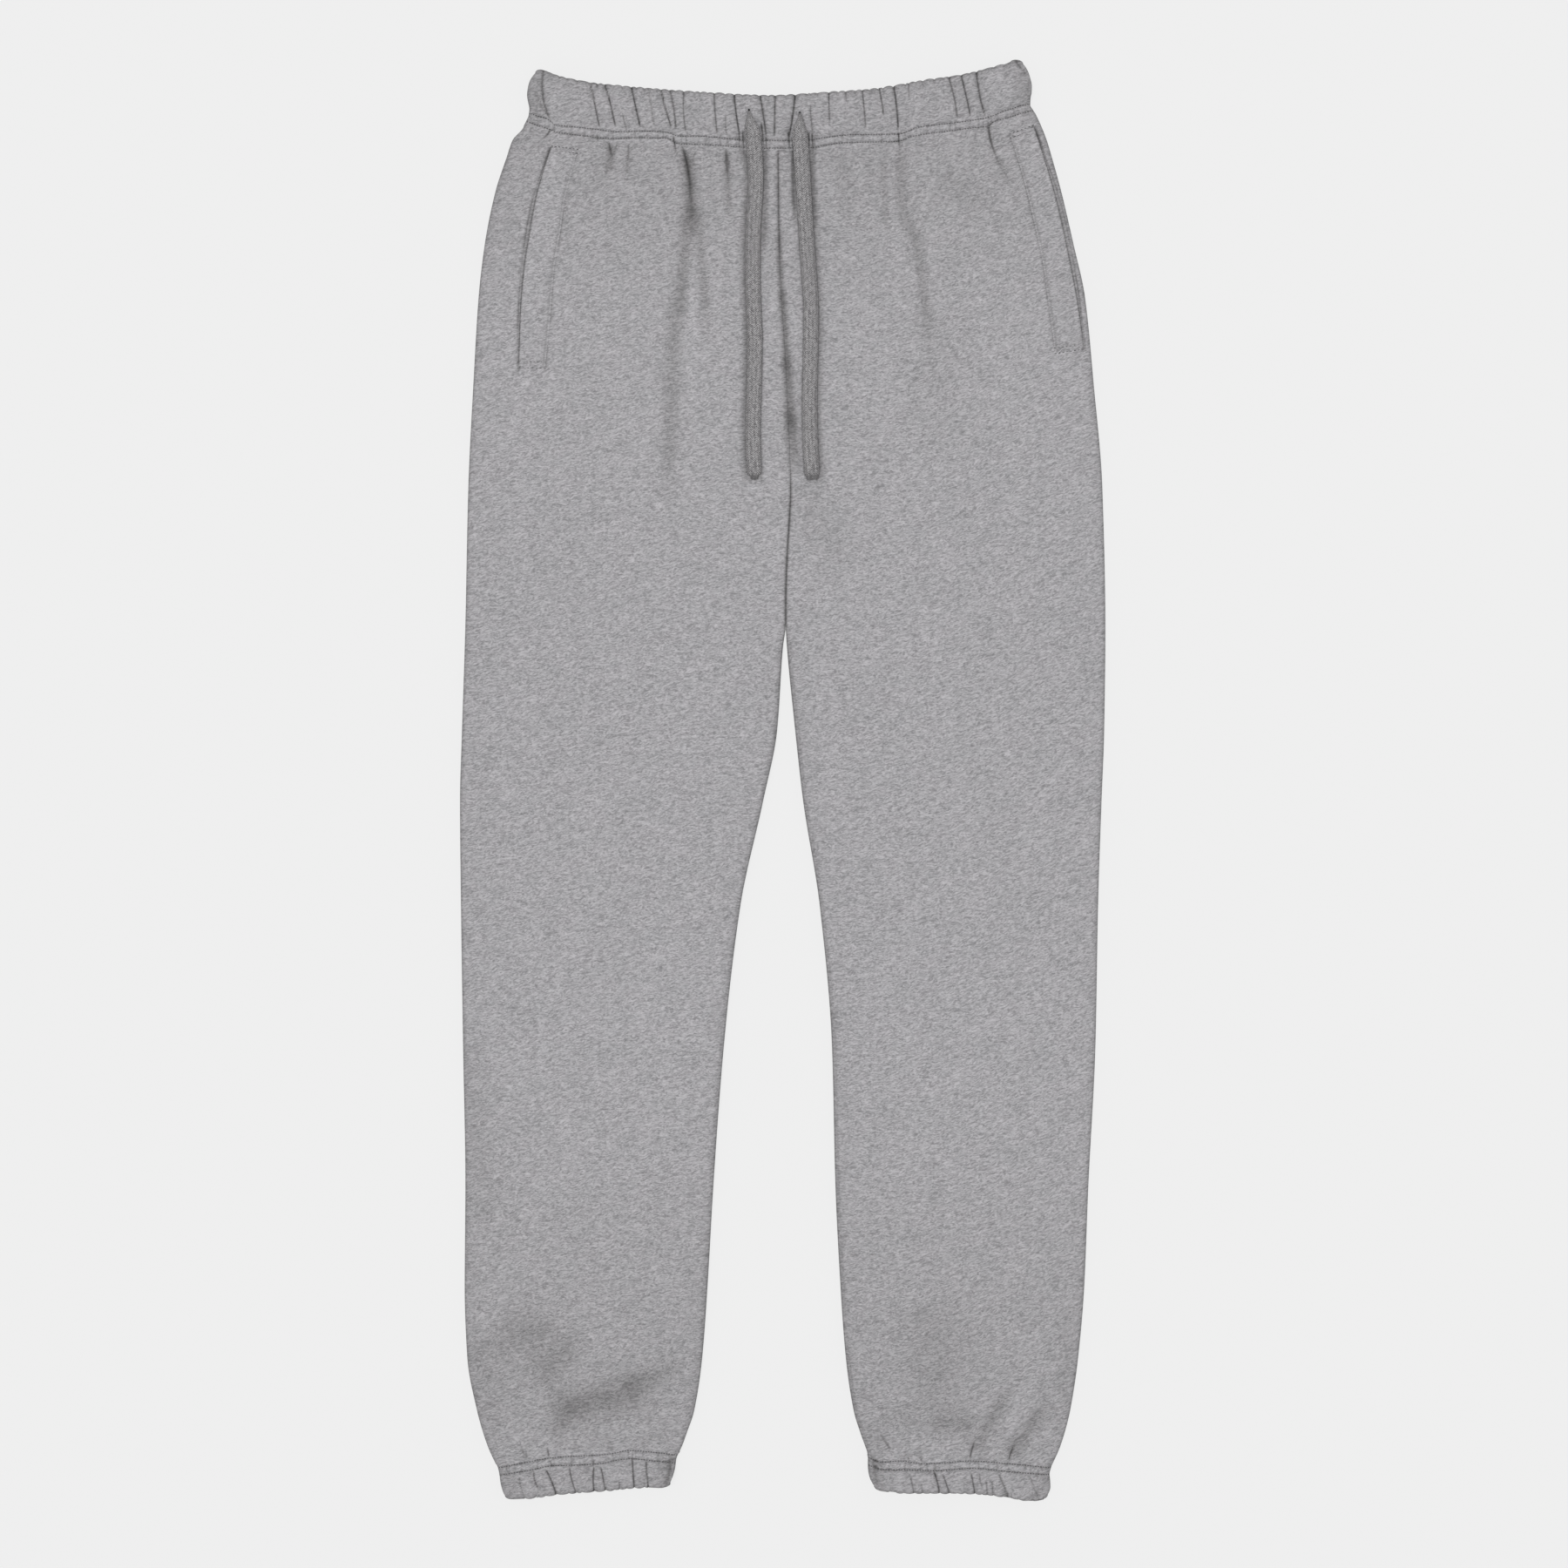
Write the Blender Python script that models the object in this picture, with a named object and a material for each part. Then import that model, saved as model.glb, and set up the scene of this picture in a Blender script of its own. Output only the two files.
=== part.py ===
"""Grey fleece track pants with elastic waist and cuffs, laid flat with the front up.

+X points to the wearer's left, +Y to the waist and +Z up. The underside lies on z = 0.
Tables are in millimetres, with one row for each section, fold or gather, and a name for each column.
"""

import math
from collections import namedtuple

import bmesh
import bpy
import numpy as np
from mathutils import Vector

MM = 0.001
GARMENT = "track_pants"

# Cloth and seams
WALL = 2.4
SEAM_GAP = 0.3
CASING_GAP = 0.55
LEG_HEIGHT = 8.4
WAIST_SEAM_HEIGHT = 8.6
EDGE_RADIUS = LEG_HEIGHT / 2
EDGE_ANGLES = (0, 32, 62, 90)

# The casings of the waist and the cuffs: cloth folded over elastic
CASING_LENGTH = 35
CASING_RADIUS = 6.4
CASING_WALL = 4.6
CASING_ANGLES = (22, 56, 90, 124, 158)
FREE_EDGE_LIFT = 1.3
FREE_EDGE_START = 0.85
GATHER_HALF_WIDTH = 1.6
GATHER_PUFF = 0.07
MOST_PUFF = 0.8
BACK_GATHER_SHARE = 0.45
SCALLOP = 0.45

WAIST_HALF_WIDTH = 185
CROTCH_Y = 109.6
CROTCH_BLEND = 26
HIP_Y = 400
WAIST_BLEND = 95
CUFF_BLEND = 60

# Flat drawcords
CORD_WIDTH = 11
CORD_THICKNESS = 2.8
CORD_POINTS = 19
CORD_POINT_CROWDING = 1.35
CORD_TAPER = 17
CORD_END_SHARE = 0.42
EYELET_RADIUS = 2.3
EYELET_STITCH = 0.6
EYELET_HEIGHT = 14.6

# Pockets
WELT_THICKNESS = 1.5
FACING_THICKNESS = 0.7
FACING_WIDTH = 2.2
FACING_ROWS = slice(1, 6)

FLEECE_COLOUR = (0.371, 0.366, 0.378, 1)
FLEECE_SHADE = (0.345, 0.340, 0.352, 1)
CORD_COLOUR = (0.247, 0.240, 0.244, 1)
THREAD_COLOUR = (0.190, 0.187, 0.192, 1)
CLOTH_ROUGHNESS = 0.92


Gather = namedtuple("Gather", "seam_x free_x depth")
# A trough along a curve from its start past its bend to its end.
Fold = namedtuple("Fold", "start_x start_y bend_x bend_y end_x end_y depth half_width")
# The two long edges of a pocket strip. The outer one is on the side of the pocket's mouth.
STRIP_COLUMNS = ("inner_x", "inner_y", "outer_x", "outer_y")
# A drawcord's centre line
CORD_COLUMNS = ("x", "y", "z")


class Table:
    """Rows of named columns, read between the rows on smooth curves that never overshoot a row."""

    def __init__(self, names, rows):
        values = np.array(sorted(rows), float).T
        self.at = values[0]
        self.columns = dict(zip(names[1:], values[1:]))

    def __call__(self, name, at):
        column = self.columns[name]
        slopes = np.diff(column) / np.diff(self.at)
        at = min(max(at, self.at[0]), self.at[-1])
        row = min(int(np.searchsorted(self.at, at, side="right")) - 1, len(slopes) - 1)
        start = self.tangent(slopes, row)
        end = self.tangent(slopes, row + 1)
        span = self.at[row + 1] - self.at[row]
        t = (at - self.at[row]) / span
        bend = t * t * (3 - 2 * t)
        pull = span * (start * t * (1 - t) ** 2 - end * t * t * (1 - t))
        return column[row] + (column[row + 1] - column[row]) * bend + pull

    @staticmethod
    def tangent(slopes, row):
        """The slope at a row: the harmonic mean of those beside it, and level at a peak."""
        before = slopes[max(row - 1, 0)]
        after = slopes[min(row, len(slopes) - 1)]
        if before * after <= 0:
            return 0.0
        return 2 * before * after / (before + after)


# The outline of the hips and legs, and the lines that part the legs.
SIDE_SEAMS = Table(
    ("y", "right", "left"),
    (
        (483.0, -187.4, 183.0),
        (474.4, -187.4, 187.0),
        (463.7, -195.6, 191.2),
        (451.1, -200.0, 195.0),
        (425.9, -208.2, 201.9),
        (388.1, -215.8, 210.7),
        (350.3, -220.2, 218.9),
        (287.3, -224.0, 225.2),
        (211.7, -227.7, 231.5),
        (109.6, -229.9, 233.7),
        (35.3, -232.3, 232.8),
        (-15.1, -233.7, 230.9),
        (-90.7, -233.0, 228.4),
        (-191.5, -231.5, 226.5),
        (-292.3, -229.8, 221.4),
        (-367.9, -230.3, 218.3),
        (-418.3, -228.4, 213.9),
        (-456.1, -221.4, 208.2),
        (-481.3, -213.9, 201.3),
        (-497.0, -206.8, 194.4),
    ),
)
CENTRE_SEAM = Table(
    ("y", "x"),
    (
        (451.1, -3.5),
        (400.7, -2.8),
        (299.9, 4.1),
        (211.7, 4.1),
        (109.6, 2.2),
    ),
)
INSEAMS = Table(
    ("y", "right", "left"),
    (
        (109.6, 2.2, 2.2),
        (98.3, 0.4, 2.9),
        (35.3, -4.1, 9.1),
        (-15.1, -14.2, 14.8),
        (-90.7, -30.6, 26.8),
        (-191.5, -42.5, 35.6),
        (-292.3, -50.1, 38.1),
        (-367.9, -54.5, 41.9),
        (-418.3, -58.3, 45.7),
        (-456.1, -64.0, 51.3),
        (-481.3, -72.6, 57.6),
        (-497.0, -78.0, 61.0),
    ),
)
LEG_STATIONS = (
    455.5, 449, 441, 430, 415, 394, 362, 320, 270, 215, 160, 122, 104, 84,
    40, -30, -110, -200, -290, -360, -410, -445, -468, -484.5,
)  # fmt: skip

WAIST_EDGES = Table(
    ("x", "seam_y", "free_y"),
    (
        (-187.4, 474.4, 513.0),
        (-176.7, 471.4, 514.1),
        (-150.0, 466.0, 506.5),
        (-107.4, 462.6, 501.5),
        (-60.0, 458.4, 497.6),
        (-9.0, 455.5, 495.2),
        (33.0, 457.0, 497.6),
        (62.7, 459.6, 499.6),
        (104.3, 465.8, 506.4),
        (147.7, 472.6, 515.2),
        (167.3, 477.6, 521.0),
        (183.0, 483.0, 518.5),
    ),
)
WAIST_SIDES = Table(
    ("share", "left_x", "right_x"),
    (
        (0.0, -187.4, 183.0),
        (0.3, -184.6, 180.4),
        (0.65, -185.5, 179.9),
        (0.86, -183.4, 178.4),
        (1.0, -178.4, 173.6),
    ),
)
WAIST_PROFILE = Table(
    ("share", "height", "gather_share"),
    (
        (0.0, 8.6, 0.45),
        (0.06, 8.5, 0.35),
        (0.14, 9.7, 0.45),
        (0.21, 9.5, 0.5),
        (0.36, 12.2, 0.95),
        (0.6, 13.0, 1.0),
        (0.88, 12.6, 1.0),
        (1.0, 10.9, 0.55),
    ),
)
WAIST_GATHERS = [
    Gather(*row)
    for row in (
        (-168.5, -170.2, 0.8),
        (-148.0, -153.5, 0.7),
        (-132.0, -138.9, 1.5),
        (-120.6, -128.8, 1.9),
        (-103.0, -109.3, 2.3),
        (-91.5, -97.5, 0.9),
        (-80.3, -87.3, 1.5),
        (-69.6, -71.5, 1.7),
        (-58.4, -60.2, 0.9),
        (-47.6, -49.5, 1.3),
        (-31.2, -35.0, 2.1),
        (-14.6, -16.1, 2.0),
        (-6.0, -6.0, 1.4),
        (6.0, 9.1, 2.0),
        (21.5, 22.5, 0.9),
        (33.1, 32.4, 1.5),
        (46.0, 45.0, 0.9),
        (59.5, 57.6, 1.6),
        (72.8, 69.6, 1.3),
        (84.1, 79.7, 2.1),
        (102.0, 100.5, 0.9),
        (125.7, 120.5, 1.4),
        (135.1, 128.8, 1.7),
        (147.7, 140.2, 2.3),
        (165.5, 158.5, 0.8),
    )
]

CUFF_PROFILE = Table(
    ("share", "height", "gather_share"),
    (
        (0.0, 8.4, 0.5),
        (0.08, 8.3, 0.4),
        (0.18, 9.3, 0.5),
        (0.29, 9.1, 0.5),
        (0.5, 11.2, 1.0),
        (0.84, 11.4, 1.0),
        (1.0, 9.8, 0.6),
    ),
)
RIGHT_CUFF_EDGES = Table(
    ("x", "seam_y", "free_y"),
    (
        (-207.0, -495.0, -518.6),
        (-197.0, -492.8, -519.6),
        (-184.0, -490.4, -519.0),
        (-160.0, -487.2, -516.0),
        (-126.0, -484.8, -513.4),
        (-100.0, -483.8, -511.2),
        (-76.0, -486.0, -510.2),
    ),
)
RIGHT_CUFF_SIDES = Table(
    ("share", "left_x", "right_x"),
    (
        (0.0, -207.4, -75.4),
        (0.5, -204.2, -79.0),
        (0.85, -201.4, -81.0),
        (1.0, -198.0, -85.0),
    ),
)
RIGHT_CUFF_GATHERS = [
    Gather(*row)
    for row in (
        (-193.0, -188.5, 1.2),
        (-180.2, -175.8, 1.6),
        (-172.0, -163.5, 2.2),
        (-154.3, -149.0, 1.4),
        (-145.0, -142.0, 0.9),
        (-136.4, -136.4, 1.8),
        (-130.0, -127.8, 1.3),
        (-118.1, -118.1, 1.2),
        (-108.9, -109.4, 1.6),
        (-98.9, -102.0, 1.5),
        (-89.0, -94.5, 1.0),
    )
]
LEFT_CUFF_EDGES = Table(
    ("x", "seam_y", "free_y"),
    (
        (61.0, -488.0, -511.0),
        (72.0, -489.6, -513.8),
        (90.0, -490.6, -515.3),
        (130.0, -491.2, -515.5),
        (160.0, -492.6, -517.9),
        (180.0, -494.0, -521.0),
        (195.0, -495.4, -518.0),
    ),
)
LEFT_CUFF_SIDES = Table(
    ("share", "left_x", "right_x"),
    (
        (0.0, 59.9, 195.0),
        (0.5, 63.5, 193.6),
        (0.85, 66.4, 192.6),
        (1.0, 70.5, 188.4),
    ),
)
LEFT_CUFF_GATHERS = [
    Gather(*row)
    for row in (
        (75.0, 79.6, 1.0),
        (88.9, 94.8, 1.7),
        (99.2, 101.0, 0.9),
        (107.7, 113.1, 2.2),
        (115.6, 120.6, 1.3),
        (126.0, 128.0, 0.9),
        (136.4, 138.9, 1.4),
        (143.0, 144.0, 1.4),
        (155.0, 163.5, 1.8),
        (167.0, 172.0, 1.2),
        (178.0, 179.6, 1.6),
    )
]

# The largest folds of the front, the narrow ones first
RIGHT_FOLDS = [
    Fold(*row)
    for row in (
        (-125.7, 466, -124.6, 455, -122.6, 440, 2.0, 3.0),
        (-111.2, 466, -110.6, 450, -109.4, 432, 1.6, 3.4),
        (-73.4, 466, -69.4, 446, -65.4, 404, 3.0, 4.0),
        (-41.3, 462, -40.2, 447, -38.4, 428, 1.7, 3.4),
        (-65.0, 430, -63.9, 388, -82.0, 225, 1.3, 20.0),
        (-3.0, 415, 2.0, 330, 4.1, 215, 1.2, 11.0),
    )
]
LEFT_FOLDS = [
    Fold(*row)
    for row in (
        (33.0, 462, 33.8, 450, 35.0, 436, 1.2, 3.2),
        (70.9, 464, 72.0, 449, 73.6, 432, 1.6, 3.2),
        (85.0, 470, 86.2, 452, 88.5, 414, 2.1, 3.8),
        (149.0, 478, 153.4, 456, 160.0, 430, 2.5, 3.4),
        (100.0, 430, 110.0, 360, 104.0, 230, 1.2, 20.0),
        (-3.0, 415, 2.0, 330, 4.1, 215, 1.2, 11.0),
    )
]
BROAD_FOLD = 8
# Plain columns of the front between its folds, as shares of the leg's width from the inner edge.
RIGHT_FILLS = (0.11, 0.29, 0.48, 0.76, 0.88)
LEFT_FILLS = (0.1, 0.29, 0.56, 0.69, 0.92)
BACK_FILLS = (0.12, 0.27, 0.42, 0.58, 0.73, 0.88)

# Pocket welts, from the waist down
STRIP_STEP = 0.5
RIGHT_WELT = (
    (-148.4, 455.0, -167.4, 457.4),
    (-152.8, 438.5, -173.6, 438.5),
    (-157.5, 419.6, -178.6, 419.6),
    (-160.7, 397.5, -182.5, 397.5),
    (-165.4, 367.9, -187.1, 367.9),
    (-167.9, 337.7, -189.6, 337.7),
    (-171.7, 299.3, -190.8, 299.9),
)
LEFT_WELT = (
    (164.7, 464.6, 181.0, 469.6),
    (169.8, 449.8, 189.0, 449.8),
    (175.5, 429.7, 195.0, 429.7),
    (181.8, 403.2, 201.6, 403.2),
    (188.0, 374.9, 208.0, 373.0),
    (192.5, 342.7, 213.6, 342.7),
    (196.9, 310.0, 217.6, 313.1),
)

# Drawcord centre lines, from the eyelet to the free end
RIGHT_CORD = (
    (-24.0, 479.6, 15.8),
    (-22.4, 470.0, 15.6),
    (-21.0, 460.0, 13.4),
    (-20.0, 448.0, 11.0),
    (-19.5, 434.1, 10.3),
    (-21.4, 396.9, 10.2),
    (-21.7, 363.5, 10.2),
    (-20.2, 319.4, 10.2),
    (-21.1, 274.0, 10.2),
    (-21.7, 252.0, 10.2),
    (-20.4, 217.8, 10.2),
)
LEFT_CORD = (
    (12.6, 477.8, 15.8),
    (12.2, 469.0, 15.6),
    (13.0, 459.0, 13.4),
    (13.9, 447.0, 11.0),
    (14.8, 433.0, 10.3),
    (17.6, 387.5, 10.2),
    (20.5, 341.5, 10.2),
    (20.2, 308.0, 10.2),
    (19.5, 274.0, 10.2),
    (20.2, 240.7, 10.2),
    (21.6, 217.8, 10.2),
)
RIGHT_EYELET = (-24.3, 483.9)
LEFT_EYELET = (12.4, 482.1)


def step(value):
    """A smooth rise from 0 to 1 as the value goes from 0 to 1."""
    value = min(max(value, 0.0), 1.0)
    return value * value * (3 - 2 * value)


def mix(a, b, share):
    return a + (b - a) * share


def bezier(start, bend, end, share):
    return mix(mix(start, bend, share), mix(bend, end, share), share)


def cloth(name, colour):
    material = bpy.data.materials.new(name)
    material.use_nodes = True
    shader = material.node_tree.nodes["Principled BSDF"]
    shader.inputs["Base Color"].default_value = colour
    shader.inputs["Roughness"].default_value = CLOTH_ROUGHNESS
    shader.inputs["Metallic"].default_value = 0
    return material


def finish(name, mesh, material, collection):
    """Turns the faces outwards, shades them smooth and puts the piece into the garment."""
    solid = bmesh.new()
    solid.from_mesh(mesh)
    bmesh.ops.recalc_face_normals(solid, faces=solid.faces)
    solid.to_mesh(mesh)
    solid.free()
    mesh.shade_smooth()
    mesh.set_sharp_from_angle(angle=math.radians(50))
    mesh.materials.append(material)
    piece = bpy.data.objects.new(name, mesh)
    collection.objects.link(piece)
    return piece


def wall(name, outer, inner, material, collection, ring=False):
    """A closed wall between two grids of points, rows by columns.

    A ring's columns run on into the first, and its inner grid may have fewer rows than its outer one.
    """
    columns = len(outer[0])
    spans = columns if ring else columns - 1
    layers = (outer, inner)
    starts = (0, len(outer) * columns)

    def corner(layer, row, column):
        return starts[layer] + row * columns + column % columns

    faces = []
    for layer, grid in enumerate(layers):
        for row in range(len(grid) - 1):
            for column in range(spans):
                square = ((row, column), (row, column + 1), (row + 1, column + 1), (row + 1, column))
                faces.append([corner(layer, *place) for place in square])
    ends = ((0, 0), (len(outer) - 1, len(inner) - 1))
    for outer_row, inner_row in ends:
        for column in range(spans):
            rim = ((0, outer_row, column), (0, outer_row, column + 1))
            rim += ((1, inner_row, column + 1), (1, inner_row, column))
            faces.append([corner(*place) for place in rim])
    if not ring:
        for column in (0, columns - 1):
            for row in range(len(outer) - 1):
                rim = ((0, row, column), (0, row + 1, column), (1, row + 1, column), (1, row, column))
                faces.append([corner(*place) for place in rim])
    points = [Vector(point) * MM for grid in layers for row in grid for point in row]
    mesh = bpy.data.meshes.new(name)
    mesh.from_pydata(points, [], faces)
    return finish(name, mesh, material, collection)


def inner_edge(side, y):
    """Where a leg's panels end on their inner side: the centre seam, or the inseam below the crotch."""
    return CENTRE_SEAM("x", y) if y > CROTCH_Y else INSEAMS(side, y)


def fold_path(fold, y):
    """A fold's x at a height y, and how far along it that is, from 0 to 1."""
    length = fold.start_y - fold.end_y
    share = min(max((fold.start_y - y) / length, 0.0), 1.0)
    # Warped so that the curve is half way along when it passes the bend
    bend_share = (fold.start_y - fold.bend_y) / length
    warped = share + 2 * (0.5 - bend_share) * share * (1 - share)
    control = 2 * fold.bend_x - (fold.start_x + fold.end_x) / 2
    return bezier(fold.start_x, control, fold.end_x, warped), share


def relief(folds, x, y):
    """How far the folds lower the front at (x, y). Narrow ones fade downwards, broad ones at both ends."""
    total = 0.0
    for fold in folds:
        path, share = fold_path(fold, y)
        broad = fold.half_width > BROAD_FOLD
        along = math.sin(math.pi * share) if broad else 1 - step(share)
        total += fold.depth * along * math.exp(-(((x - path) / fold.half_width) ** 2))
    return total


def round_section(angle, top, wall_top, lower, roundness):
    """A point of the rounded edge: how far in from the edge, and its height, on both faces of the wall.

    Roundness 0 keeps the section level up to the edge, as it is along the centre seam.
    """
    turn = math.radians(angle)
    level = EDGE_RADIUS * (1 - math.cos(turn))
    outer_in = level
    inner_in = mix(level, WALL + (EDGE_RADIUS - WALL) * (1 - math.cos(turn)), roundness)
    outer_z = mix(top, lower + (top - lower) * math.sin(turn), roundness)
    inner_z = mix(wall_top, lower + (wall_top - lower) * math.sin(turn), roundness)
    return outer_in, outer_z, inner_in, inner_z


def leg_columns(folds, fills, side, y):
    """The columns across a leg at height y, from the inner to the outer edge, without the edges' own."""
    inner = inner_edge(side, y)
    width = SIDE_SEAMS(side, y) - inner
    columns = [inner + fill * width for fill in fills]
    for fold in folds:
        if fold.half_width > BROAD_FOLD:
            continue
        reach = max(y, fold.end_y)
        fold_inner = inner_edge(side, reach)
        fold_width = SIDE_SEAMS(side, reach) - fold_inner
        share = (fold_path(fold, reach)[0] - fold_inner) / fold_width
        centre = inner + share * width
        columns += [centre - fold.half_width, centre, centre + fold.half_width]
    return sorted(columns, reverse=side == "right")


def panel(name, side, front, folds, fills, cuff_edges, material, collection):
    """One leg's front or back, from the waist seam to the cuff seam."""
    sign = -1 if side == "right" else 1
    middle = LEG_HEIGHT / 2
    seam_outer = SIDE_SEAMS(side, WAIST_EDGES("seam_y", sign * WAIST_HALF_WIDTH))
    outer, inner = [], []
    for station in LEG_STATIONS:
        waist_pull = 1 - step((LEG_STATIONS[0] - station) / WAIST_BLEND)
        cuff_pull = 1 - step((station - LEG_STATIONS[-1]) / CUFF_BLEND)

        def along_leg(x):
            waist = WAIST_EDGES("seam_y", x) - CASING_GAP - LEG_STATIONS[0]
            cuff = cuff_edges("seam_y", x) + CASING_GAP - LEG_STATIONS[-1]
            return station + waist * waist_pull + cuff * cuff_pull

        def place(x, z):
            return x, along_leg(x), z

        outer_y = along_leg(mix(SIDE_SEAMS(side, station), seam_outer, waist_pull))
        inner_y = along_leg(inner_edge(side, station))
        inner_x = inner_edge(side, inner_y) + sign * SEAM_GAP / 2
        outer_x = SIDE_SEAMS(side, outer_y)
        top = mix(LEG_HEIGHT, WAIST_SEAM_HEIGHT, waist_pull)
        face, back_face = (top, top - WALL) if front else (0.0, WALL)
        lower = middle + (SEAM_GAP if front else -SEAM_GAP) / 2
        roundness = step((CROTCH_Y + 6 - station) / CROTCH_BLEND)
        outer_row, inner_row = [], []
        for angle in EDGE_ANGLES:
            section = round_section(angle, face, back_face, lower, roundness)
            shade = relief(folds, inner_x + sign * section[0], inner_y) * (1 - roundness)
            outer_row.append(place(inner_x + sign * section[0], section[1] - shade))
            inner_row.append(place(inner_x + sign * section[2], section[3] - shade))
        for x in leg_columns(folds, fills, side, station):
            shade = relief(folds, x, along_leg(x))
            outer_row.append(place(x, face - shade))
            inner_row.append(place(x, back_face - shade))
        for angle in reversed(EDGE_ANGLES):
            section = round_section(angle, face, back_face, lower, 1.0)
            outer_row.append(place(outer_x - sign * section[0], section[1]))
            inner_row.append(place(outer_x - sign * section[2], section[3]))
        outer.append(outer_row)
        inner.append(inner_row)
    return wall(name, outer, inner, material, collection)


def gather_trough(gather, depth):
    """A gather's three columns: level, deep and level again."""
    columns = []
    for shift, share in ((-1, 0.0), (0, 1.0), (1, 0.0)):
        offset = shift * GATHER_HALF_WIDTH
        columns.append((gather.seam_x + offset, gather.free_x + offset, depth * share))
    return columns


def gather_columns(gathers):
    """The upper face's columns, as x at the seam, x at the free edge and depth, with crests between."""
    columns = []
    for before, gather in zip([None] + gathers, gathers):
        if before:
            reach = gather.seam_x - before.seam_x - 2 * GATHER_HALF_WIDTH
            puff = -min(GATHER_PUFF * reach, MOST_PUFF)
            middle = mix(before.seam_x, gather.seam_x, 0.5), mix(before.free_x, gather.free_x, 0.5)
            columns.append((*middle, puff))
        columns += gather_trough(gather, gather.depth)
    return columns


def casing(name, edges, sides, profile, gathers, material, collection):
    """A gathered ring of folded cloth round its elastic, lying flat, with its lower face on the ground."""
    upper = gather_columns(gathers)
    lower = []
    for gather in gathers[::2]:
        lower += gather_trough(gather, gather.depth * BACK_GATHER_SHARE)
    lower.reverse()

    def row_of(share, outside):
        left, right = sides("left_x", share), sides("right_x", share)
        gather_share = profile("gather_share", share) if outside else 0.0
        side_wall = 0.0 if outside else mix(WALL, CASING_WALL, share)
        radius = CASING_RADIUS - side_wall
        if outside:
            top = profile("height", share)
            bottom = FREE_EDGE_LIFT * step((share - FREE_EDGE_START) / (1 - FREE_EDGE_START))
        else:
            top = mix(profile("height", 0) - WALL, 2 * CASING_RADIUS - CASING_WALL, share)
            bottom = mix(WALL, CASING_WALL, share)
        row = []

        def add(x, z, depth=0.0):
            inset = SCALLOP * depth / CASING_LENGTH
            y = mix(edges("seam_y", x), edges("free_y", x), share * (1 - inset * share))
            row.append((x, y, z))

        for seam_x, free_x, depth in upper:
            add(mix(seam_x, free_x, share), top - depth * gather_share, depth)
        for angle in CASING_ANGLES:
            turn = math.radians(angle)
            z = mix(bottom, top, 0.5 + math.cos(turn) / 2)
            add(right - CASING_RADIUS + radius * math.sin(turn), z)
        for seam_x, free_x, depth in lower:
            add(mix(seam_x, free_x, share), bottom + depth * gather_share, depth)
        for angle in reversed(CASING_ANGLES):
            turn = math.radians(angle)
            z = mix(bottom, top, 0.5 + math.cos(turn) / 2)
            add(left + CASING_RADIUS - radius * math.sin(turn), z)
        return row

    outer = [row_of(share, True) for share in profile.at]
    inner = [row_of(share, False) for share in (0.0, 1.0)]
    return wall(name, outer, inner, material, collection, ring=True)


def strip(name, rows, thickness, material, collection):
    """A flat strip on the front, a seam's gap above it, along smooth curves through its rows."""
    base = LEG_HEIGHT + SEAM_GAP
    edges = Table(("row",) + STRIP_COLUMNS, [(index, *row) for index, row in enumerate(rows)])
    outer, inner = [], []
    for index in np.arange(0, len(rows) - 1 + STRIP_STEP, STRIP_STEP):
        inner_x, inner_y, outer_x, outer_y = [edges(column, index) for column in STRIP_COLUMNS]
        lift = base + (WAIST_SEAM_HEIGHT - LEG_HEIGHT) * step((inner_y - HIP_Y) / (LEG_STATIONS[0] - HIP_Y))
        ends = ((inner_x, inner_y), (outer_x, outer_y))
        outer.append([(x, y, lift + thickness) for x, y in ends])
        inner.append([(x, y, lift) for x, y in ends])
    return wall(name, outer, inner, material, collection)


def facing_rows(rows):
    """The narrow edge of the pocket's facing that shows past the mouth, between the welt's rows."""
    sign = math.copysign(1, rows[0][0])
    found = []
    for _, _, outer_x, outer_y in rows[FACING_ROWS]:
        near = outer_x + sign * SEAM_GAP
        found.append((near, outer_y, near + sign * FACING_WIDTH, outer_y))
    return found


def cord(name, route, material, collection):
    """A flat braid: a curve with an extruded, rounded section, narrow where it leaves the eyelet."""
    points = np.array(route, float)
    lengths = np.concatenate([[0], np.cumsum(np.linalg.norm(np.diff(points, axis=0), axis=1))])
    path = Table(("along",) + CORD_COLUMNS, [(d, *p) for d, p in zip(lengths, route)])
    data = bpy.data.curves.new(name, "CURVE")
    data.dimensions = "3D"
    data.twist_mode = "Z_UP"
    data.fill_mode = "FULL"
    data.bevel_depth = CORD_THICKNESS / 2 * MM
    data.extrude = (CORD_WIDTH - CORD_THICKNESS) / 2 * MM
    data.bevel_resolution = 2
    data.use_fill_caps = True
    spline = data.splines.new("POLY")
    spline.points.add(CORD_POINTS - 1)
    for index, point in enumerate(spline.points):
        along = lengths[-1] * (index / (CORD_POINTS - 1)) ** CORD_POINT_CROWDING
        place = [path(column, along) * MM for column in CORD_COLUMNS]
        point.co = (*place, 1)
        point.tilt = math.pi / 2
        point.radius = mix(CORD_END_SHARE, 1, step(along / CORD_TAPER))
    data.materials.append(material)
    piece = bpy.data.objects.new(name, data)
    collection.objects.link(piece)
    return piece


def eyelet(name, place, material, collection):
    """The ring of stitches round the hole that a drawcord comes out of."""
    bpy.ops.mesh.primitive_torus_add(
        major_radius=EYELET_RADIUS * MM,
        minor_radius=EYELET_STITCH * MM,
        major_segments=20,
        minor_segments=6,
        location=(place[0] * MM, place[1] * MM, EYELET_HEIGHT * MM),
    )
    ring = bpy.context.active_object
    ring.name = ring.data.name = name
    ring.data.shade_smooth()
    ring.data.materials.append(material)
    for home in list(ring.users_collection):
        home.objects.unlink(ring)
    collection.objects.link(ring)
    return ring


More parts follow.
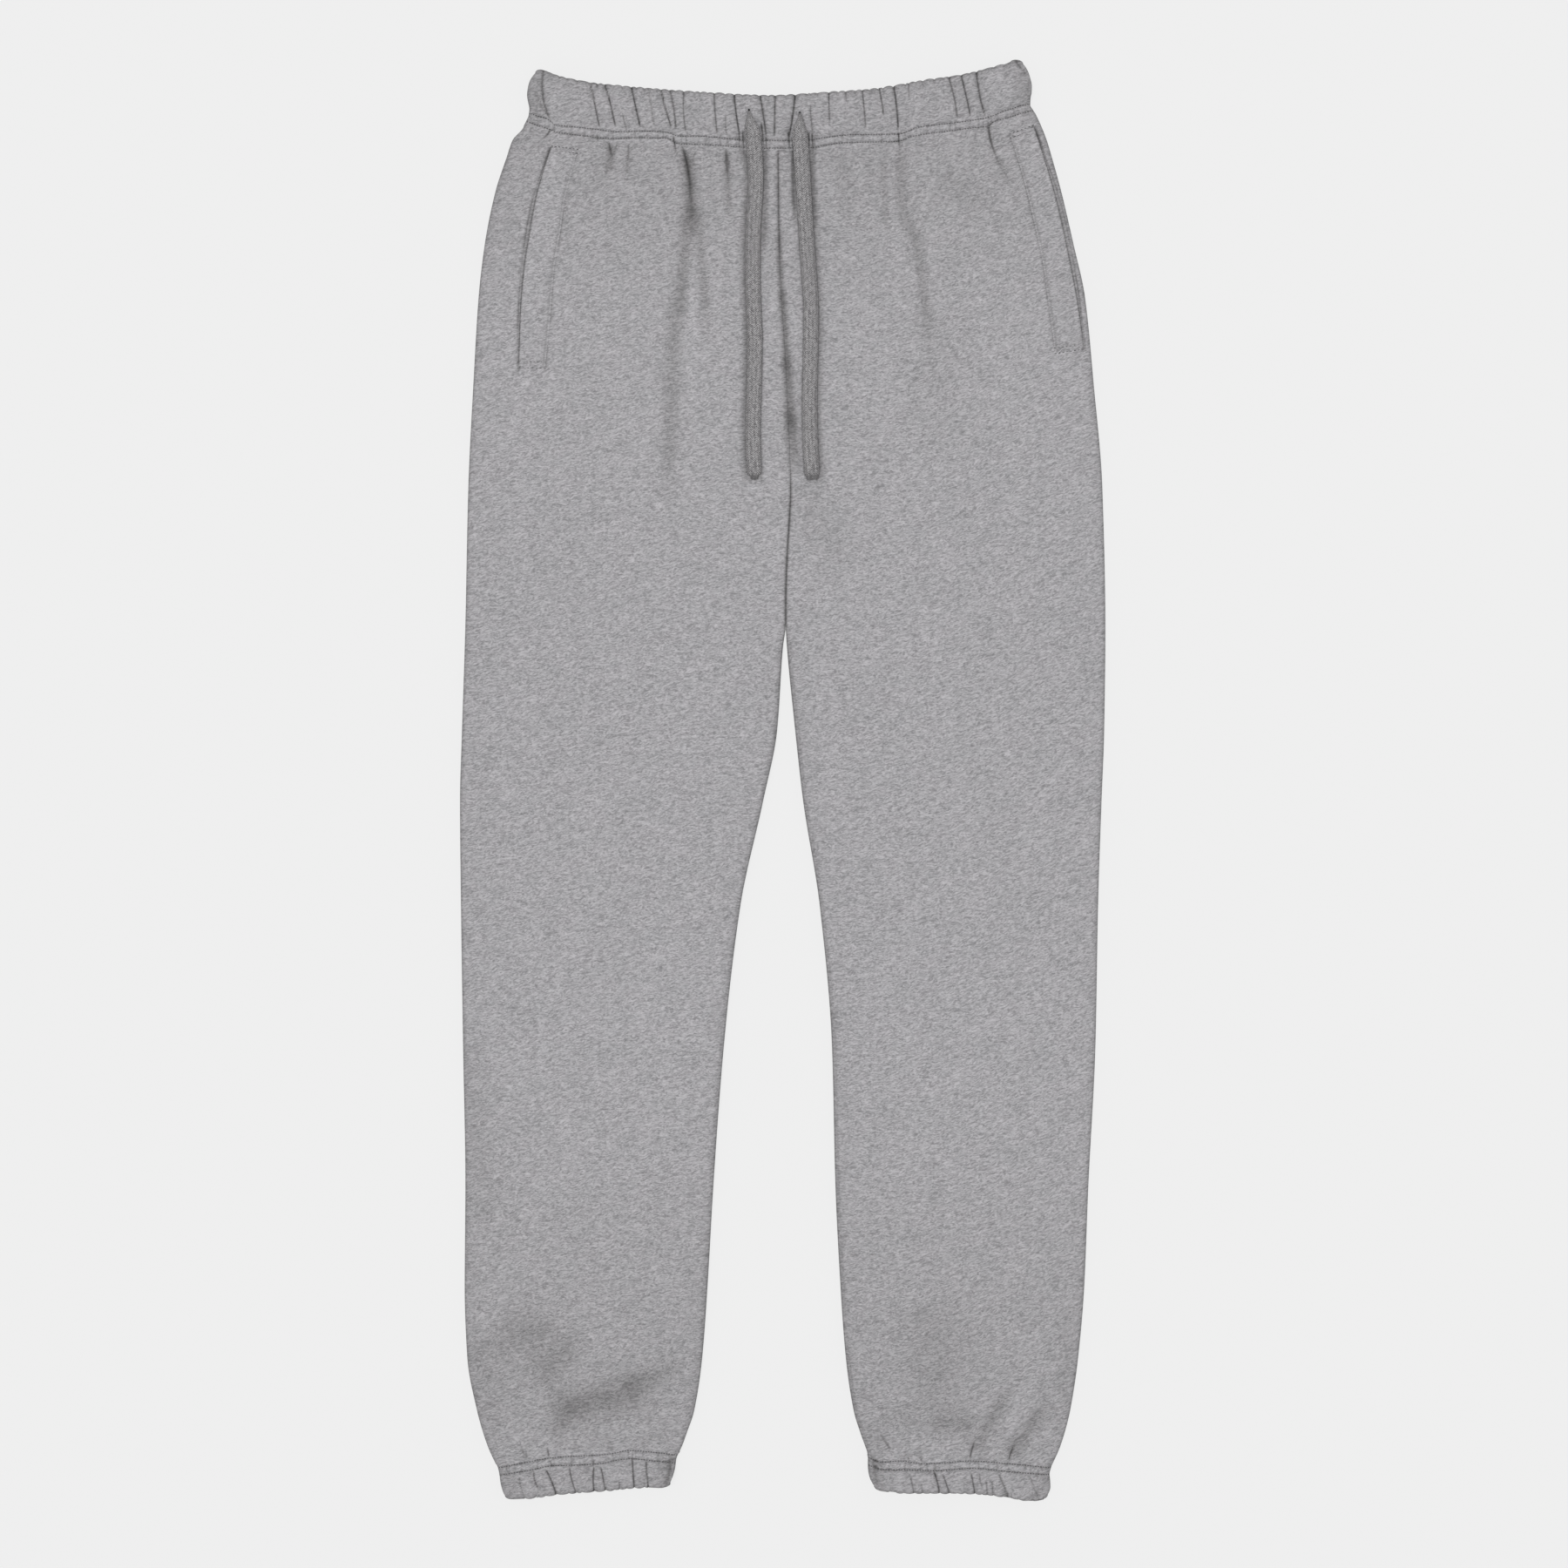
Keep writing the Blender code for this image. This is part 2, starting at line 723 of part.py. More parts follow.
def build():
    for old in list(bpy.data.objects):
        bpy.data.objects.remove(old)
    garment = bpy.data.collections.new(GARMENT)
    bpy.context.scene.collection.children.link(garment)
    fleece = cloth("fleece", FLEECE_COLOUR)
    welt_cloth = cloth("pocket_fleece", FLEECE_SHADE)
    braid = cloth("braid", CORD_COLOUR)
    thread = cloth("thread", THREAD_COLOUR)

    legs = (
        ("right", RIGHT_FOLDS, RIGHT_FILLS, RIGHT_CUFF_EDGES, RIGHT_CUFF_SIDES, RIGHT_CUFF_GATHERS),
        ("left", LEFT_FOLDS, LEFT_FILLS, LEFT_CUFF_EDGES, LEFT_CUFF_SIDES, LEFT_CUFF_GATHERS),
    )
    for side, folds, fills, edges, sides, gathers in legs:
        panel("front_panel_" + side, side, True, folds, fills, edges, fleece, garment)
        panel("back_panel_" + side, side, False, (), BACK_FILLS, edges, fleece, garment)
        casing("cuff_" + side, edges, sides, CUFF_PROFILE, gathers, fleece, garment)
    casing("waistband", WAIST_EDGES, WAIST_SIDES, WAIST_PROFILE, WAIST_GATHERS, fleece, garment)

    details = (
        ("right", RIGHT_WELT, RIGHT_CORD, RIGHT_EYELET),
        ("left", LEFT_WELT, LEFT_CORD, LEFT_EYELET),
    )
    for side, welt_rows, route, hole in details:
        strip("pocket_welt_" + side, welt_rows, WELT_THICKNESS, welt_cloth, garment)
        strip("pocket_facing_" + side, facing_rows(welt_rows), FACING_THICKNESS, fleece, garment)
        cord("drawcord_" + side, route, braid, garment)
        eyelet("eyelet_" + side, hole, thread, garment)


build()
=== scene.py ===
# %% [markdown]
# # Grey fleece track pants, laid flat
#
# The garment is cut from marl fleece: two fronts, two backs, a waist casing and two cuff casings
# gathered on elastic, two welt pockets and a flat drawcord. It lies on its back with the front up.
# A plain solid model of it is loaded first and never changed. Each piece made here is a finer skin
# in the place of one solid, so all sizes are the garment's own, in millimetres, with +X to the
# wearer's left, +Y to the waist and +Z up. The cloth rests on z = 0.

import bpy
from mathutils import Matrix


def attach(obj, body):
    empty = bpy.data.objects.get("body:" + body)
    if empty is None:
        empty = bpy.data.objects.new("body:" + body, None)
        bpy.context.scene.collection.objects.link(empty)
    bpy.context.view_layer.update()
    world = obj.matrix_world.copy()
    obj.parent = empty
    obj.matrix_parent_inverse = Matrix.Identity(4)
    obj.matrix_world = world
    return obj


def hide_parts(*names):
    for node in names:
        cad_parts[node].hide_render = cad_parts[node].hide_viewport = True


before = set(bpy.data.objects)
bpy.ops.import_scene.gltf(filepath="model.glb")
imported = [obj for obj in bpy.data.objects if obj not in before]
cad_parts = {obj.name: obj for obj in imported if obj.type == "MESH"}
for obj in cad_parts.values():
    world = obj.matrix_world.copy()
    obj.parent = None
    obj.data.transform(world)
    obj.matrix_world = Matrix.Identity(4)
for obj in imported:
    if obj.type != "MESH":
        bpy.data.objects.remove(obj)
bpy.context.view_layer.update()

# %% Libraries and units
import math
from collections import namedtuple

import bmesh
import bpy
import numpy as np

MM = 0.001
SIGN = {"right": -1, "left": 1}
scene = bpy.context.scene


def put_in_scene(name, data):
    """A new object at the origin that shows a mesh, a lamp or a camera."""
    made = bpy.data.objects.new(name, data)
    scene.collection.objects.link(made)
    return made


# %% [markdown]
# ## The camera
#
# The garment was photographed from straight above. A long lens keeps the raised waist and the flat
# legs at nearly one scale, so the camera's distance follows from the lens and from how much floor
# the picture spans, and it needs no tilt: a new camera already looks down.

# %% Camera above the cloth
LENS = 85
SENSOR = 36
PICTURE_SPAN = 1134
CLOTH_HEIGHT = 8
PICTURE_CENTRE = (0.945, -2.52)

camera_data = bpy.data.cameras.new("camera")
camera_data.lens = LENS
camera_data.sensor_width = SENSOR
camera = put_in_scene("camera", camera_data)
camera_height = CLOTH_HEIGHT + PICTURE_SPAN * LENS / SENSOR
camera.location = (PICTURE_CENTRE[0] * MM, PICTURE_CENTRE[1] * MM, camera_height * MM)
scene.camera = camera
print("camera height in mm:", round(camera_height))

# %% [markdown]
# ## Measured tables
#
# Most shapes here are rows of measured places: an outline, a seam, a cord's route. Between the
# rows a smooth curve is wanted that never swings past a measured place, as a plain cubic does. The
# harmonic mean of the slopes on both sides gives such a curve, and it works on whole arrays.


# %% Smooth reading between measured rows
def rise(value):
    """A smooth rise from 0 to 1 as the value goes from 0 to 1."""
    value = np.clip(value, 0, 1)
    return value * value * (3 - 2 * value)


def mix(a, b, share):
    return a + (b - a) * share


class Table:
    """Rows of named columns, read between the rows on curves that never overshoot a row."""

    def __init__(self, names, rows):
        values = np.array(sorted(rows), float).T
        self.at = values[0]
        self.columns = dict(zip(names[1:], values[1:]))

    def __call__(self, name, at):
        column = self.columns[name]
        slopes = np.diff(column) / np.diff(self.at)
        before, after = np.append(slopes[:1], slopes), np.append(slopes, slopes[-1:])
        turning = before * after <= 0
        pulls = np.where(turning, 0, 2 * before * after / np.where(turning, 1, before + after))
        at = np.clip(at, self.at[0], self.at[-1])
        row = np.clip(np.searchsorted(self.at, at, side="right") - 1, 0, len(slopes) - 1)
        span = self.at[row + 1] - self.at[row]
        t = (at - self.at[row]) / span
        bend = t * t * (3 - 2 * t)
        pull = span * (pulls[row] * t * (1 - t) ** 2 - pulls[row + 1] * t * t * (1 - t))
        return column[row] + (column[row + 1] - column[row]) * bend + pull


def paced(start, end, gap):
    """Places from start to end, each as far from the one before as gap says there."""
    places = [start]
    while places[-1] < end:
        places.append(places[-1] + float(gap(places[-1])))
    return start + (np.array(places) - start) * (end - start) / (places[-1] - start)


# %% [markdown]
# ## From grids to cloth
#
# Every cloth piece starts as a grid of points. Two helpers turn grids into closed meshes: a shell
# has a fine outer face, a coarser inner face and a rim, and a ring runs round on itself both ways,
# like a tube that is folded back inside itself. Both carry a map of the cloth's grain, for the marl
# to follow, and a painted shade for each point, which darkens the creases, folds, seams, outlines
# and other places where shade falls.


# %% Meshes with grain and shade
SHARP_EDGE = math.radians(60)
# The hidden inner faces get an even painted shade.
INNER_SHADE = 0.2


def darker(*shades):
    """The shade that several shades make together."""
    light = 1
    for shade in shades:
        light = light * (1 - shade)
    return 1 - light


def quads(height, width, start=0, wrap_rows=False, wrap_columns=False):
    """The faces of a grid. A wrapped way runs on from its last points into its first."""
    faces = []
    for row in range(height if wrap_rows else height - 1):
        here, below = start + row * width, start + (row + 1) % height * width
        for column in range(width if wrap_columns else width - 1):
            beside = (column + 1) % width
            faces.append((here + column, here + beside, below + beside, below + column))
    return faces


def every(count, step):
    """Indexes from 0 to the last, about a step apart."""
    return np.unique(np.linspace(0, count - 1, max(2, round((count - 1) / step) + 1)).astype(int))


def turns(count):
    """Angles all the way round, evenly spaced."""
    return np.arange(count) * 2 * math.pi / count


def finish_mesh(name, points, faces, grain, shade):
    """A closed mesh from points in millimetres, with its grain map and its shade."""
    mesh = bpy.data.meshes.new(name)
    mesh.from_pydata(np.asarray(points) * MM, [], faces)
    solid = bmesh.new()
    solid.from_mesh(mesh)
    bmesh.ops.recalc_face_normals(solid, faces=solid.faces)
    solid.to_mesh(mesh)
    solid.free()
    mesh.shade_smooth()
    mesh.set_sharp_from_angle(angle=SHARP_EDGE)
    corners = np.empty(len(mesh.loops), int)
    mesh.loops.foreach_get("vertex_index", corners)
    grain_map = mesh.uv_layers.new(name="grain")
    grain_map.data.foreach_set("uv", np.asarray(grain, float)[corners].ravel())
    shades = mesh.attributes.new("shade", "FLOAT", "POINT")
    shades.data.foreach_set("value", np.asarray(shade, float))
    triangles = sum(len(face) - 2 for face in faces)
    print(f"{name}: {len(points)} points, {triangles} triangles")
    return put_in_scene(name, mesh)


# %% Shells and rings
def shell(name, outer, inner, thinning, grain, shade):
    """A closed sheet. Its inner face keeps only some of its rows and columns of points."""
    height, width = outer.shape[:2]
    rows, columns = every(height, thinning[0]), every(width, thinning[1])
    picked = np.ix_(rows, columns)
    inner = inner[picked]
    start, inner_width = height * width, len(columns)
    faces = quads(height, width)
    faces += [(a, d, c, b) for a, b, c, d in quads(len(rows), inner_width, start)]
    for row, inner_row in ((0, 0), (height - 1, len(rows) - 1)):
        for place in range(inner_width - 1):
            edge = [row * width + c for c in range(columns[place], columns[place + 1] + 1)]
            under = start + inner_row * inner_width + place
            faces.append((*edge, under + 1, under))
    for column, inner_column in ((0, 0), (width - 1, inner_width - 1)):
        for place in range(len(rows) - 1):
            edge = [r * width + column for r in range(rows[place], rows[place + 1] + 1)]
            under = start + place * inner_width + inner_column
            faces.append((*edge, under + inner_width, under))
    points = np.concatenate([outer.reshape(-1, 3), inner.reshape(-1, 3)])
    grains = np.concatenate([grain.reshape(-1, 2), grain[picked].reshape(-1, 2)])
    shades = np.concatenate([shade.ravel(), np.full(len(rows) * len(columns), INNER_SHADE)])
    return finish_mesh(name, points, faces, grains, shades)


def ring(name, grid, grain, shade):
    """A closed ring: its last row runs on into the first, and its last column too."""
    faces = quads(*grid.shape[:2], wrap_rows=True, wrap_columns=True)
    return finish_mesh(name, grid.reshape(-1, 3), faces, grain.reshape(-1, 2), shade.ravel())


# %% [markdown]
# ## Drawcords
#
# The drawcord is a flat knitted braid, 11 mm wide, that comes out of two small sewn eyelets, drops
# over the waistband and lies on the fronts with two cut ends. It could be an extruded curve, but
# the real braid is bunched where it leaves the eyelet and pinched at its sealed tip, so a section
# is swept along the route by hand, with its own width and thickness at each place.

# %% Cord routes, from the eyelet to the free end
CORD_WIDTH = 11
CORD_THICKNESS = 2.8
CORD_STEP = 1.2
CORD_SECTION = 32
CORD_SQUARENESS = 3.0
# Painted shade at the braid's rounded edges and on its outer side.
CORD_EDGE_SHADE, CORD_OUTER_SHADE = 0.5, 0.14
UNDER_GRAIN = 40
EYELETS = {"right": (-24.3, 483.9), "left": (12.4, 482.1)}
CORD_ROUTES = {
    "right": (
        (-24.3, 483, 12.9), (-24.2, 481.4, 14.9), (-23.9, 478.6, 15.7), (-22.4, 470, 15.4),
        (-21, 460, 13), (-20, 448, 10.9), (-19.5, 434.1, 10.2), (-20.4, 415, 10.1),
        (-21.4, 396.9, 10.1), (-21.7, 380, 10.1), (-21.7, 363.5, 10.1), (-21, 341, 10.1),
        (-20.2, 319.4, 10.1), (-20.6, 296, 10.1), (-21.1, 274, 10.1), (-21.7, 252, 10.1),
        (-21.2, 234, 10.1), (-20.4, 217.8, 10),
    ),
    "left": (
        (12.4, 481.2, 12.9), (12.4, 479.6, 14.9), (12.5, 476.8, 15.7), (12.2, 469, 15.4),
        (13, 459, 13), (13.9, 447, 10.9), (14.8, 433, 10.2), (16.2, 410, 10.1), (17.6, 387.5, 10.1),
        (19.2, 364, 10.1), (20.5, 341.5, 10.1), (20.5, 324, 10.1), (20.2, 308, 10.1),
        (19.8, 291, 10.1), (19.5, 274, 10.1), (19.7, 257, 10.1), (20.2, 240.7, 10.1),
        (21.6, 217.8, 10),
    ),
}
# How wide and thick the braid is, against its full size, by the distance from its start
CORD_START = Table(("along", "width", "thickness"), (
    (0, 0.14, 0.5), (4, 0.3, 0.75), (8, 0.6, 0.95), (13, 0.9, 1), (19, 1.06, 1), (30, 1.04, 1),
    (60, 1, 1)))
# and by the distance from its cut end, where the fibres are pressed and sealed
CORD_TIP = {
    "right": Table(("left", "width", "thickness", "shade"), (
        (0, 0.46, 0.55, 0.65), (2.6, 0.54, 0.6, 0.65), (3.8, 0.86, 0.9, 0.2), (6.5, 1, 1, 0))),
    "left": Table(("left", "width", "thickness", "shade"), (
        (0, 0.76, 0.55, 0.65), (2.6, 0.82, 0.6, 0.65), (3.8, 0.96, 0.9, 0.2), (6.5, 1, 1, 0))),
}


# %% Sweep a braid's section along its route
def follow(route, step):
    """Close places along a smooth curve through the route, and how far along each one is."""
    route = np.array(route, float)
    reach = np.append(0, np.cumsum(np.linalg.norm(np.diff(route, axis=0), axis=1)))
    curve = Table(("along", "x", "y", "z"), [(d, *p) for d, p in zip(reach, route)])
    along = np.linspace(0, reach[-1], round(reach[-1] / step) + 1)
    return np.stack([curve(axis, along) for axis in "xyz"], axis=1), along


def braid(name, route, tip, outer):
    """A flat braid with rounded edges, closed at both ends."""
    centre, along = follow(route, CORD_STEP)
    forward = np.gradient(centre, axis=0)
    forward /= np.linalg.norm(forward, axis=1)[:, None]
    across = np.cross(forward, (0, 0, 1))
    across /= np.linalg.norm(across, axis=1)[:, None]
    up = np.cross(across, forward)
    turn = turns(CORD_SECTION)
    power = 2 / CORD_SQUARENESS
    flat = np.sign(np.cos(turn)) * abs(np.cos(turn)) ** power
    tall = np.sign(np.sin(turn)) * abs(np.sin(turn)) ** power
    left = along[-1] - along
    edge = 1 + 0.012 * np.sin(along / 2.3) + 0.01 * np.sin(along / 1.1 + 1)
    half_width = CORD_WIDTH / 2 * CORD_START("width", along) * tip("width", left) * edge
    half_height = CORD_THICKNESS / 2 * CORD_START("thickness", along) * tip("thickness", left)
    grid = centre[:, None] + across[:, None] * (half_width[:, None] * flat)[..., None]
    grid = grid + up[:, None] * (half_height[:, None] * tall)[..., None]
    # The grain runs straight across the upper face, and back across a lower face of its own
    half = flat * CORD_WIDTH / 2
    crossed = np.where(tall >= 0, half, -half + UNDER_GRAIN)
    grain = np.stack(np.broadcast_arrays(crossed, along[:, None]), axis=-1)
    # Painted shade at the rounded edges and on the outer side, joined below with the tip's
    # darkening.
    edge_shade = CORD_EDGE_SHADE * abs(flat) ** 8
    edge_shade = edge_shade + CORD_OUTER_SHADE * rise((flat * outer - 0.15) / 0.5)
    shade = darker(tip("shade", left)[:, None], edge_shade)
    faces = quads(len(along), CORD_SECTION, wrap_columns=True)
    last = (len(along) - 1) * CORD_SECTION
    faces += [tuple(range(CORD_SECTION)), tuple(range(last, last + CORD_SECTION))]
    piece = finish_mesh(name, grid.reshape(-1, 3), faces, grain.reshape(-1, 2), shade.ravel())
    return piece, centre, along[-1]


# %% Lay both cords
cords = []
for side, route in CORD_ROUTES.items():
    piece, centre, length = braid("cord_" + side, route, CORD_TIP[side], -SIGN[side])
    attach(piece, "root")
    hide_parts("drawcord_" + side)
    cords.append(piece)
    print(f"cord_{side}: {length:.1f} mm from the eyelet to its cut end")

# %% [markdown]
# ## The outline
#
# These are the garment's seams and edges as they lie, measured from the photograph: the side
# seams, the centre front, the inseams that part the legs, and the seam and free edge of the three
# gathered casings. Both faces of the garment are built between them, so front and back always meet.

# %% Seams and edges
SIDE_SEAMS = Table(("y", "right", "left"), (
    (483, -187.4, 183), (474.4, -187.4, 187), (463.7, -195.6, 191.2), (451.1, -200, 195),
    (425.9, -208.2, 201.9), (388.1, -215.8, 210.7), (350.3, -220.2, 218.9), (287.3, -224, 225.2),
    (211.7, -227.7, 231.5), (109.6, -229.9, 233.7), (35.3, -232.3, 232.8), (-15.1, -233.7, 230.9),
    (-90.7, -233, 228.4), (-191.5, -231.5, 226.5), (-292.3, -229.8, 221.4), (-367.9, -230.3, 218.3),
    (-418.3, -228.4, 213.9), (-456.1, -221.4, 208.2), (-481.3, -213.9, 201.3),
    (-497, -206.8, 194.4)))
CENTRE_SEAM = Table(("y", "x"), (
    (451.1, -3.3), (410, -2.9), (380, -2.3), (350, -0.9), (320, 1.2), (300, 2.4), (280, 3.4),
    (260, 4.3), (235, 5.3), (210, 5.8), (190, 4.9), (160, 3.1), (130, 2.2), (109.6, 2.2)))
INSEAMS = Table(("y", "right", "left"), (
    (109.6, 2.2, 2.2), (98.3, 0.4, 2.9), (35.3, -4.1, 9.1), (-15.1, -14.2, 14.8),
    (-90.7, -30.6, 26.8), (-191.5, -42.5, 35.6), (-292.3, -50.1, 38.1), (-367.9, -54.5, 41.9),
    (-418.3, -58.3, 45.7), (-456.1, -64, 51.3), (-473, -69.6, 56.4), (-481.3, -72.6, 59.4),
    (-487.2, -75.2, 61.3), (-497, -78, 62)))
WAIST_EDGES = Table(("x", "seam_y", "free_y"), (
    (-187.4, 474.4, 513), (-176.7, 471.4, 514.1), (-169.2, 469.8, 512.2), (-162.9, 468.5, 509.6),
    (-156.6, 467.3, 507.8), (-150, 466, 506.5), (-137, 464.9, 504.2), (-122, 463.7, 502.6),
    (-107.4, 462.6, 501.2), (-60, 458.4, 497.6), (-9, 455.5, 495.2), (33, 457, 497.6),
    (62.7, 459.6, 499.6), (104.3, 465.8, 506.4), (130, 469.5, 510.3), (147.7, 472.6, 514.6),
    (160, 475.6, 518), (168.5, 477.9, 521), (183, 483, 518.5)))
WAIST_SIDES = Table(("share", "left_x", "right_x"), (
    (0, -187.4, 183), (0.1, -185.6, 181), (0.2, -184, 179.2), (0.33, -183.4, 179.4),
    (0.43, -184.2, 180.2), (0.56, -185, 180.3), (0.7, -184.4, 179.2), (0.8, -183.3, 178),
    (0.9, -180.8, 175.8), (1, -176.6, 171.2)))
CUFF_EDGES = {
    "right": Table(("x", "seam_y", "free_y"), (
        (-207, -495, -518.6), (-197, -492.8, -519.6), (-184, -490.4, -519), (-160, -487.2, -516),
        (-126, -484.8, -513.4), (-100, -483.8, -511.2), (-88, -484.8, -511.4),
        (-84, -485.2, -510.6), (-80, -485.6, -507.8), (-76, -486, -503.5))),
    "left": Table(("x", "seam_y", "free_y"), (
        (61, -488, -511), (72, -489.6, -513.8), (90, -490.6, -515.3), (130, -491.2, -515.5),
        (160, -492.6, -517.9), (180, -494, -521), (195, -495.4, -518))),
}
CUFF_SIDES = {
    "right": Table(("share", "left_x", "right_x"), (
        (0, -207.4, -74.3), (0.1, -206.4, -75.7), (0.28, -205.3, -77), (0.6, -204.1, -77.9),
        (0.85, -202.2, -79.8), (0.95, -200.4, -82.2), (1, -198.4, -84.4))),
    "left": Table(("share", "left_x", "right_x"), (
        (0, 61.2, 195), (0.12, 61.7, 194.2), (0.3, 61.6, 193.2), (0.5, 61.9, 193.6),
        (0.7, 63, 193.8), (0.88, 65.4, 192.4), (0.95, 67.6, 190.8), (1, 70.2, 188.2))),
}
WALL = 2.4
LEG_HEIGHT = 8.4
WAIST_SEAM_HEIGHT = 8.6
EDGE_RADIUS = LEG_HEIGHT / 2
WAIST_STATION, CUFF_STATION = 455.5, -484.5
WAIST_BLEND, CUFF_BLEND = 95, 60
WAIST_HALF_WIDTH = 185
CROTCH_Y, CROTCH_BLEND = 109.6, 26
print("from the waist seam to the cuff seams:", WAIST_STATION - CUFF_STATION, "mm")


def inner_edge(side, y):
    """Where a leg ends on its inner side: at the centre seam, or at its inseam below the crotch."""
    return np.where(y > CROTCH_Y, CENTRE_SEAM("x", y), INSEAMS(side, y))


# %% [markdown]
# ## Creases, folds and sewn grooves
#
# Elastic draws the cloth into sharp little pleats that run from the free edge to the stitching.
# Some carry on below it as tucks and die away in the fleece. A cloth simulation would put them in
# places of its own choosing. Here each one is drawn as a line through three measured places, with
# a depth and a width, and lowers the cloth near it: sharply at the line, softly beside it. Broad
# folds are the same idea with a round section. Twin-needle rows press a shallow groove. Each of
# them also paints shade into the cloth along its line.

# %% Crease tables: depth, width, then three places from top to bottom
Crease = namedtuple("Crease", "depth width path")
Fold = namedtuple("Fold", "depth shade width path")


def creases(rows):
    return [Crease(row[0], row[1], row[2:]) for row in rows]


def folds(rows):
    return [Fold(row[0], row[1], row[2], row[3:]) for row in rows]


WAIST_GATHERS = creases((
    (1.5, 0.75, -138.9, 504.5, -135.6, 487.6, -132, 470.6),
    (1.8, 0.8, -129.2, 504, -125.1, 491, -120.6, 471),
    (0.9, 0.75, -115.6, 481.5, -114.3, 475.5, -112.5, 469.4),
    (2.2, 0.8, -109.6, 502.5, -107, 490.1, -102.6, 470.6),
    (0.6, 1.2, -97.5, 501.5, -95, 488, -92.4, 470),
    (1.7, 0.75, -88.2, 500.5, -84.9, 486.4, -79.9, 470),
    (1.3, 0.8, -82, 500, -79.1, 487.6, -77, 469.4),
    (1.1, 0.8, -71.3, 499.5, -71.6, 482.6, -69.6, 467),
    (1.2, 0.75, -49.7, 498.5, -48.8, 482.6, -47.3, 466),
    (0.8, 0.8, -41.3, 480, -41.2, 473.5, -40.6, 465.6),
    (2, 0.8, -35.2, 498, -33.7, 482.6, -31, 465.6),
    (2.1, 0.85, -17.2, 497, -14.6, 485.1, -11.9, 464.5),
    (1.5, 0.75, -5.4, 497, -5.8, 481, -6, 464),
    (2.1, 0.85, 9.2, 498, 7.4, 481.3, 4.4, 464),
    (0.9, 0.85, 20, 487, 20.6, 477, 21.8, 467),
    (1.2, 0.75, 33.2, 500, 33.5, 486.7, 33.9, 474),
    (0.8, 0.8, 45.4, 500, 45.7, 495.5, 46, 491),
    (1.2, 0.75, 57.4, 500.5, 58.9, 484, 60.3, 469.5),
    (1.4, 0.75, 69, 502, 71.4, 491, 72.9, 479),
    (2.2, 0.8, 79.8, 503.5, 82.2, 487, 83.6, 468.5),
    (0.9, 0.8, 90.9, 503, 91, 497, 91.4, 492),
    (1.3, 0.8, 119.8, 508.5, 124.1, 492, 126.4, 476.5),
    (2, 0.75, 128.9, 510, 133.3, 491, 136, 478.5),
    (2.3, 0.85, 140, 512, 142.8, 493, 147, 479),
    (1.3, 1.02, -172, 516, -173.4, 496, -167.4, 476),
    (0.5, 1.6, -178.5, 496, -174.2, 487, -169.5, 480),
    (1.1, 1.2, 166, 521, 177.6, 505, 175.4, 487),
    (0.6, 2.2, 177.6, 500, 178.4, 494, 177, 489.5),
    (0.9, 0.8, -133.6, 504.5, -134.2, 502.5, -133.8, 499.5),
    (0.7, 0.9, 144.6, 513.5, 146, 511.5, 147.6, 509.5),
))

# %% The waist's tucks below the stitching
WAIST_TUCKS = creases((
    (1.2, 0.8, -134.6, 467.2, -133.9, 463.9, -133.9, 460.4),
    (1.9, 0.95, -125.7, 461.5, -124.4, 455, -123, 447),
    (1, 0.9, -119.4, 461, -121.5, 455.4, -123.2, 449),
    (1.6, 0.8, -79.3, 466, -77.6, 457.4, -76.3, 448.5),
    (2.6, 1.7, -74.2, 461, -68.4, 441, -65.4, 402),
    (0.8, 0.8, -62.9, 455, -64.4, 451.1, -65.4, 443),
    (1, 0.95, -41.6, 457.5, -39.6, 447.3, -38.4, 433),
    (1.8, 0.8, 83.6, 469, 84.1, 461.2, 84.3, 453),
    (2.3, 1.2, 149, 476, 151.6, 459, 160.6, 439),
    (1.4, 0.9, -168.5, 471, -170.6, 466.8, -176.5, 461.6),
    (1.2, 0.9, 148.6, 472.6, 150.8, 475.4, 155.5, 477.2),
    (1.3, 0.8, -12.2, 466, -12, 460.6, -12, 451),
    (1.8, 0.85, 4.2, 470, 4.8, 461, 5.8, 450),
    (1.5, 0.8, 7, 466, 7.4, 460, 8.4, 450),
    (1.6, 0.8, 18.6, 469, 19, 462, 19.4, 452),
    (1.8, 0.85, 21, 469, 21.5, 461, 22.2, 449),
    (1.1, 0.8, -31.4, 469, -31.2, 460.4, -31, 451),
    (1.6, 0.85, -28.9, 470, -28.4, 461, -28, 448),
    (1.8, 0.85, -15.6, 476, -14.3, 464, -13.6, 450),
    (1, 0.9, -112.4, 461, -111.6, 455, -113.4, 436),
    (1.3, 0.9, -41.4, 456, -40.6, 446, -38.6, 424),
))
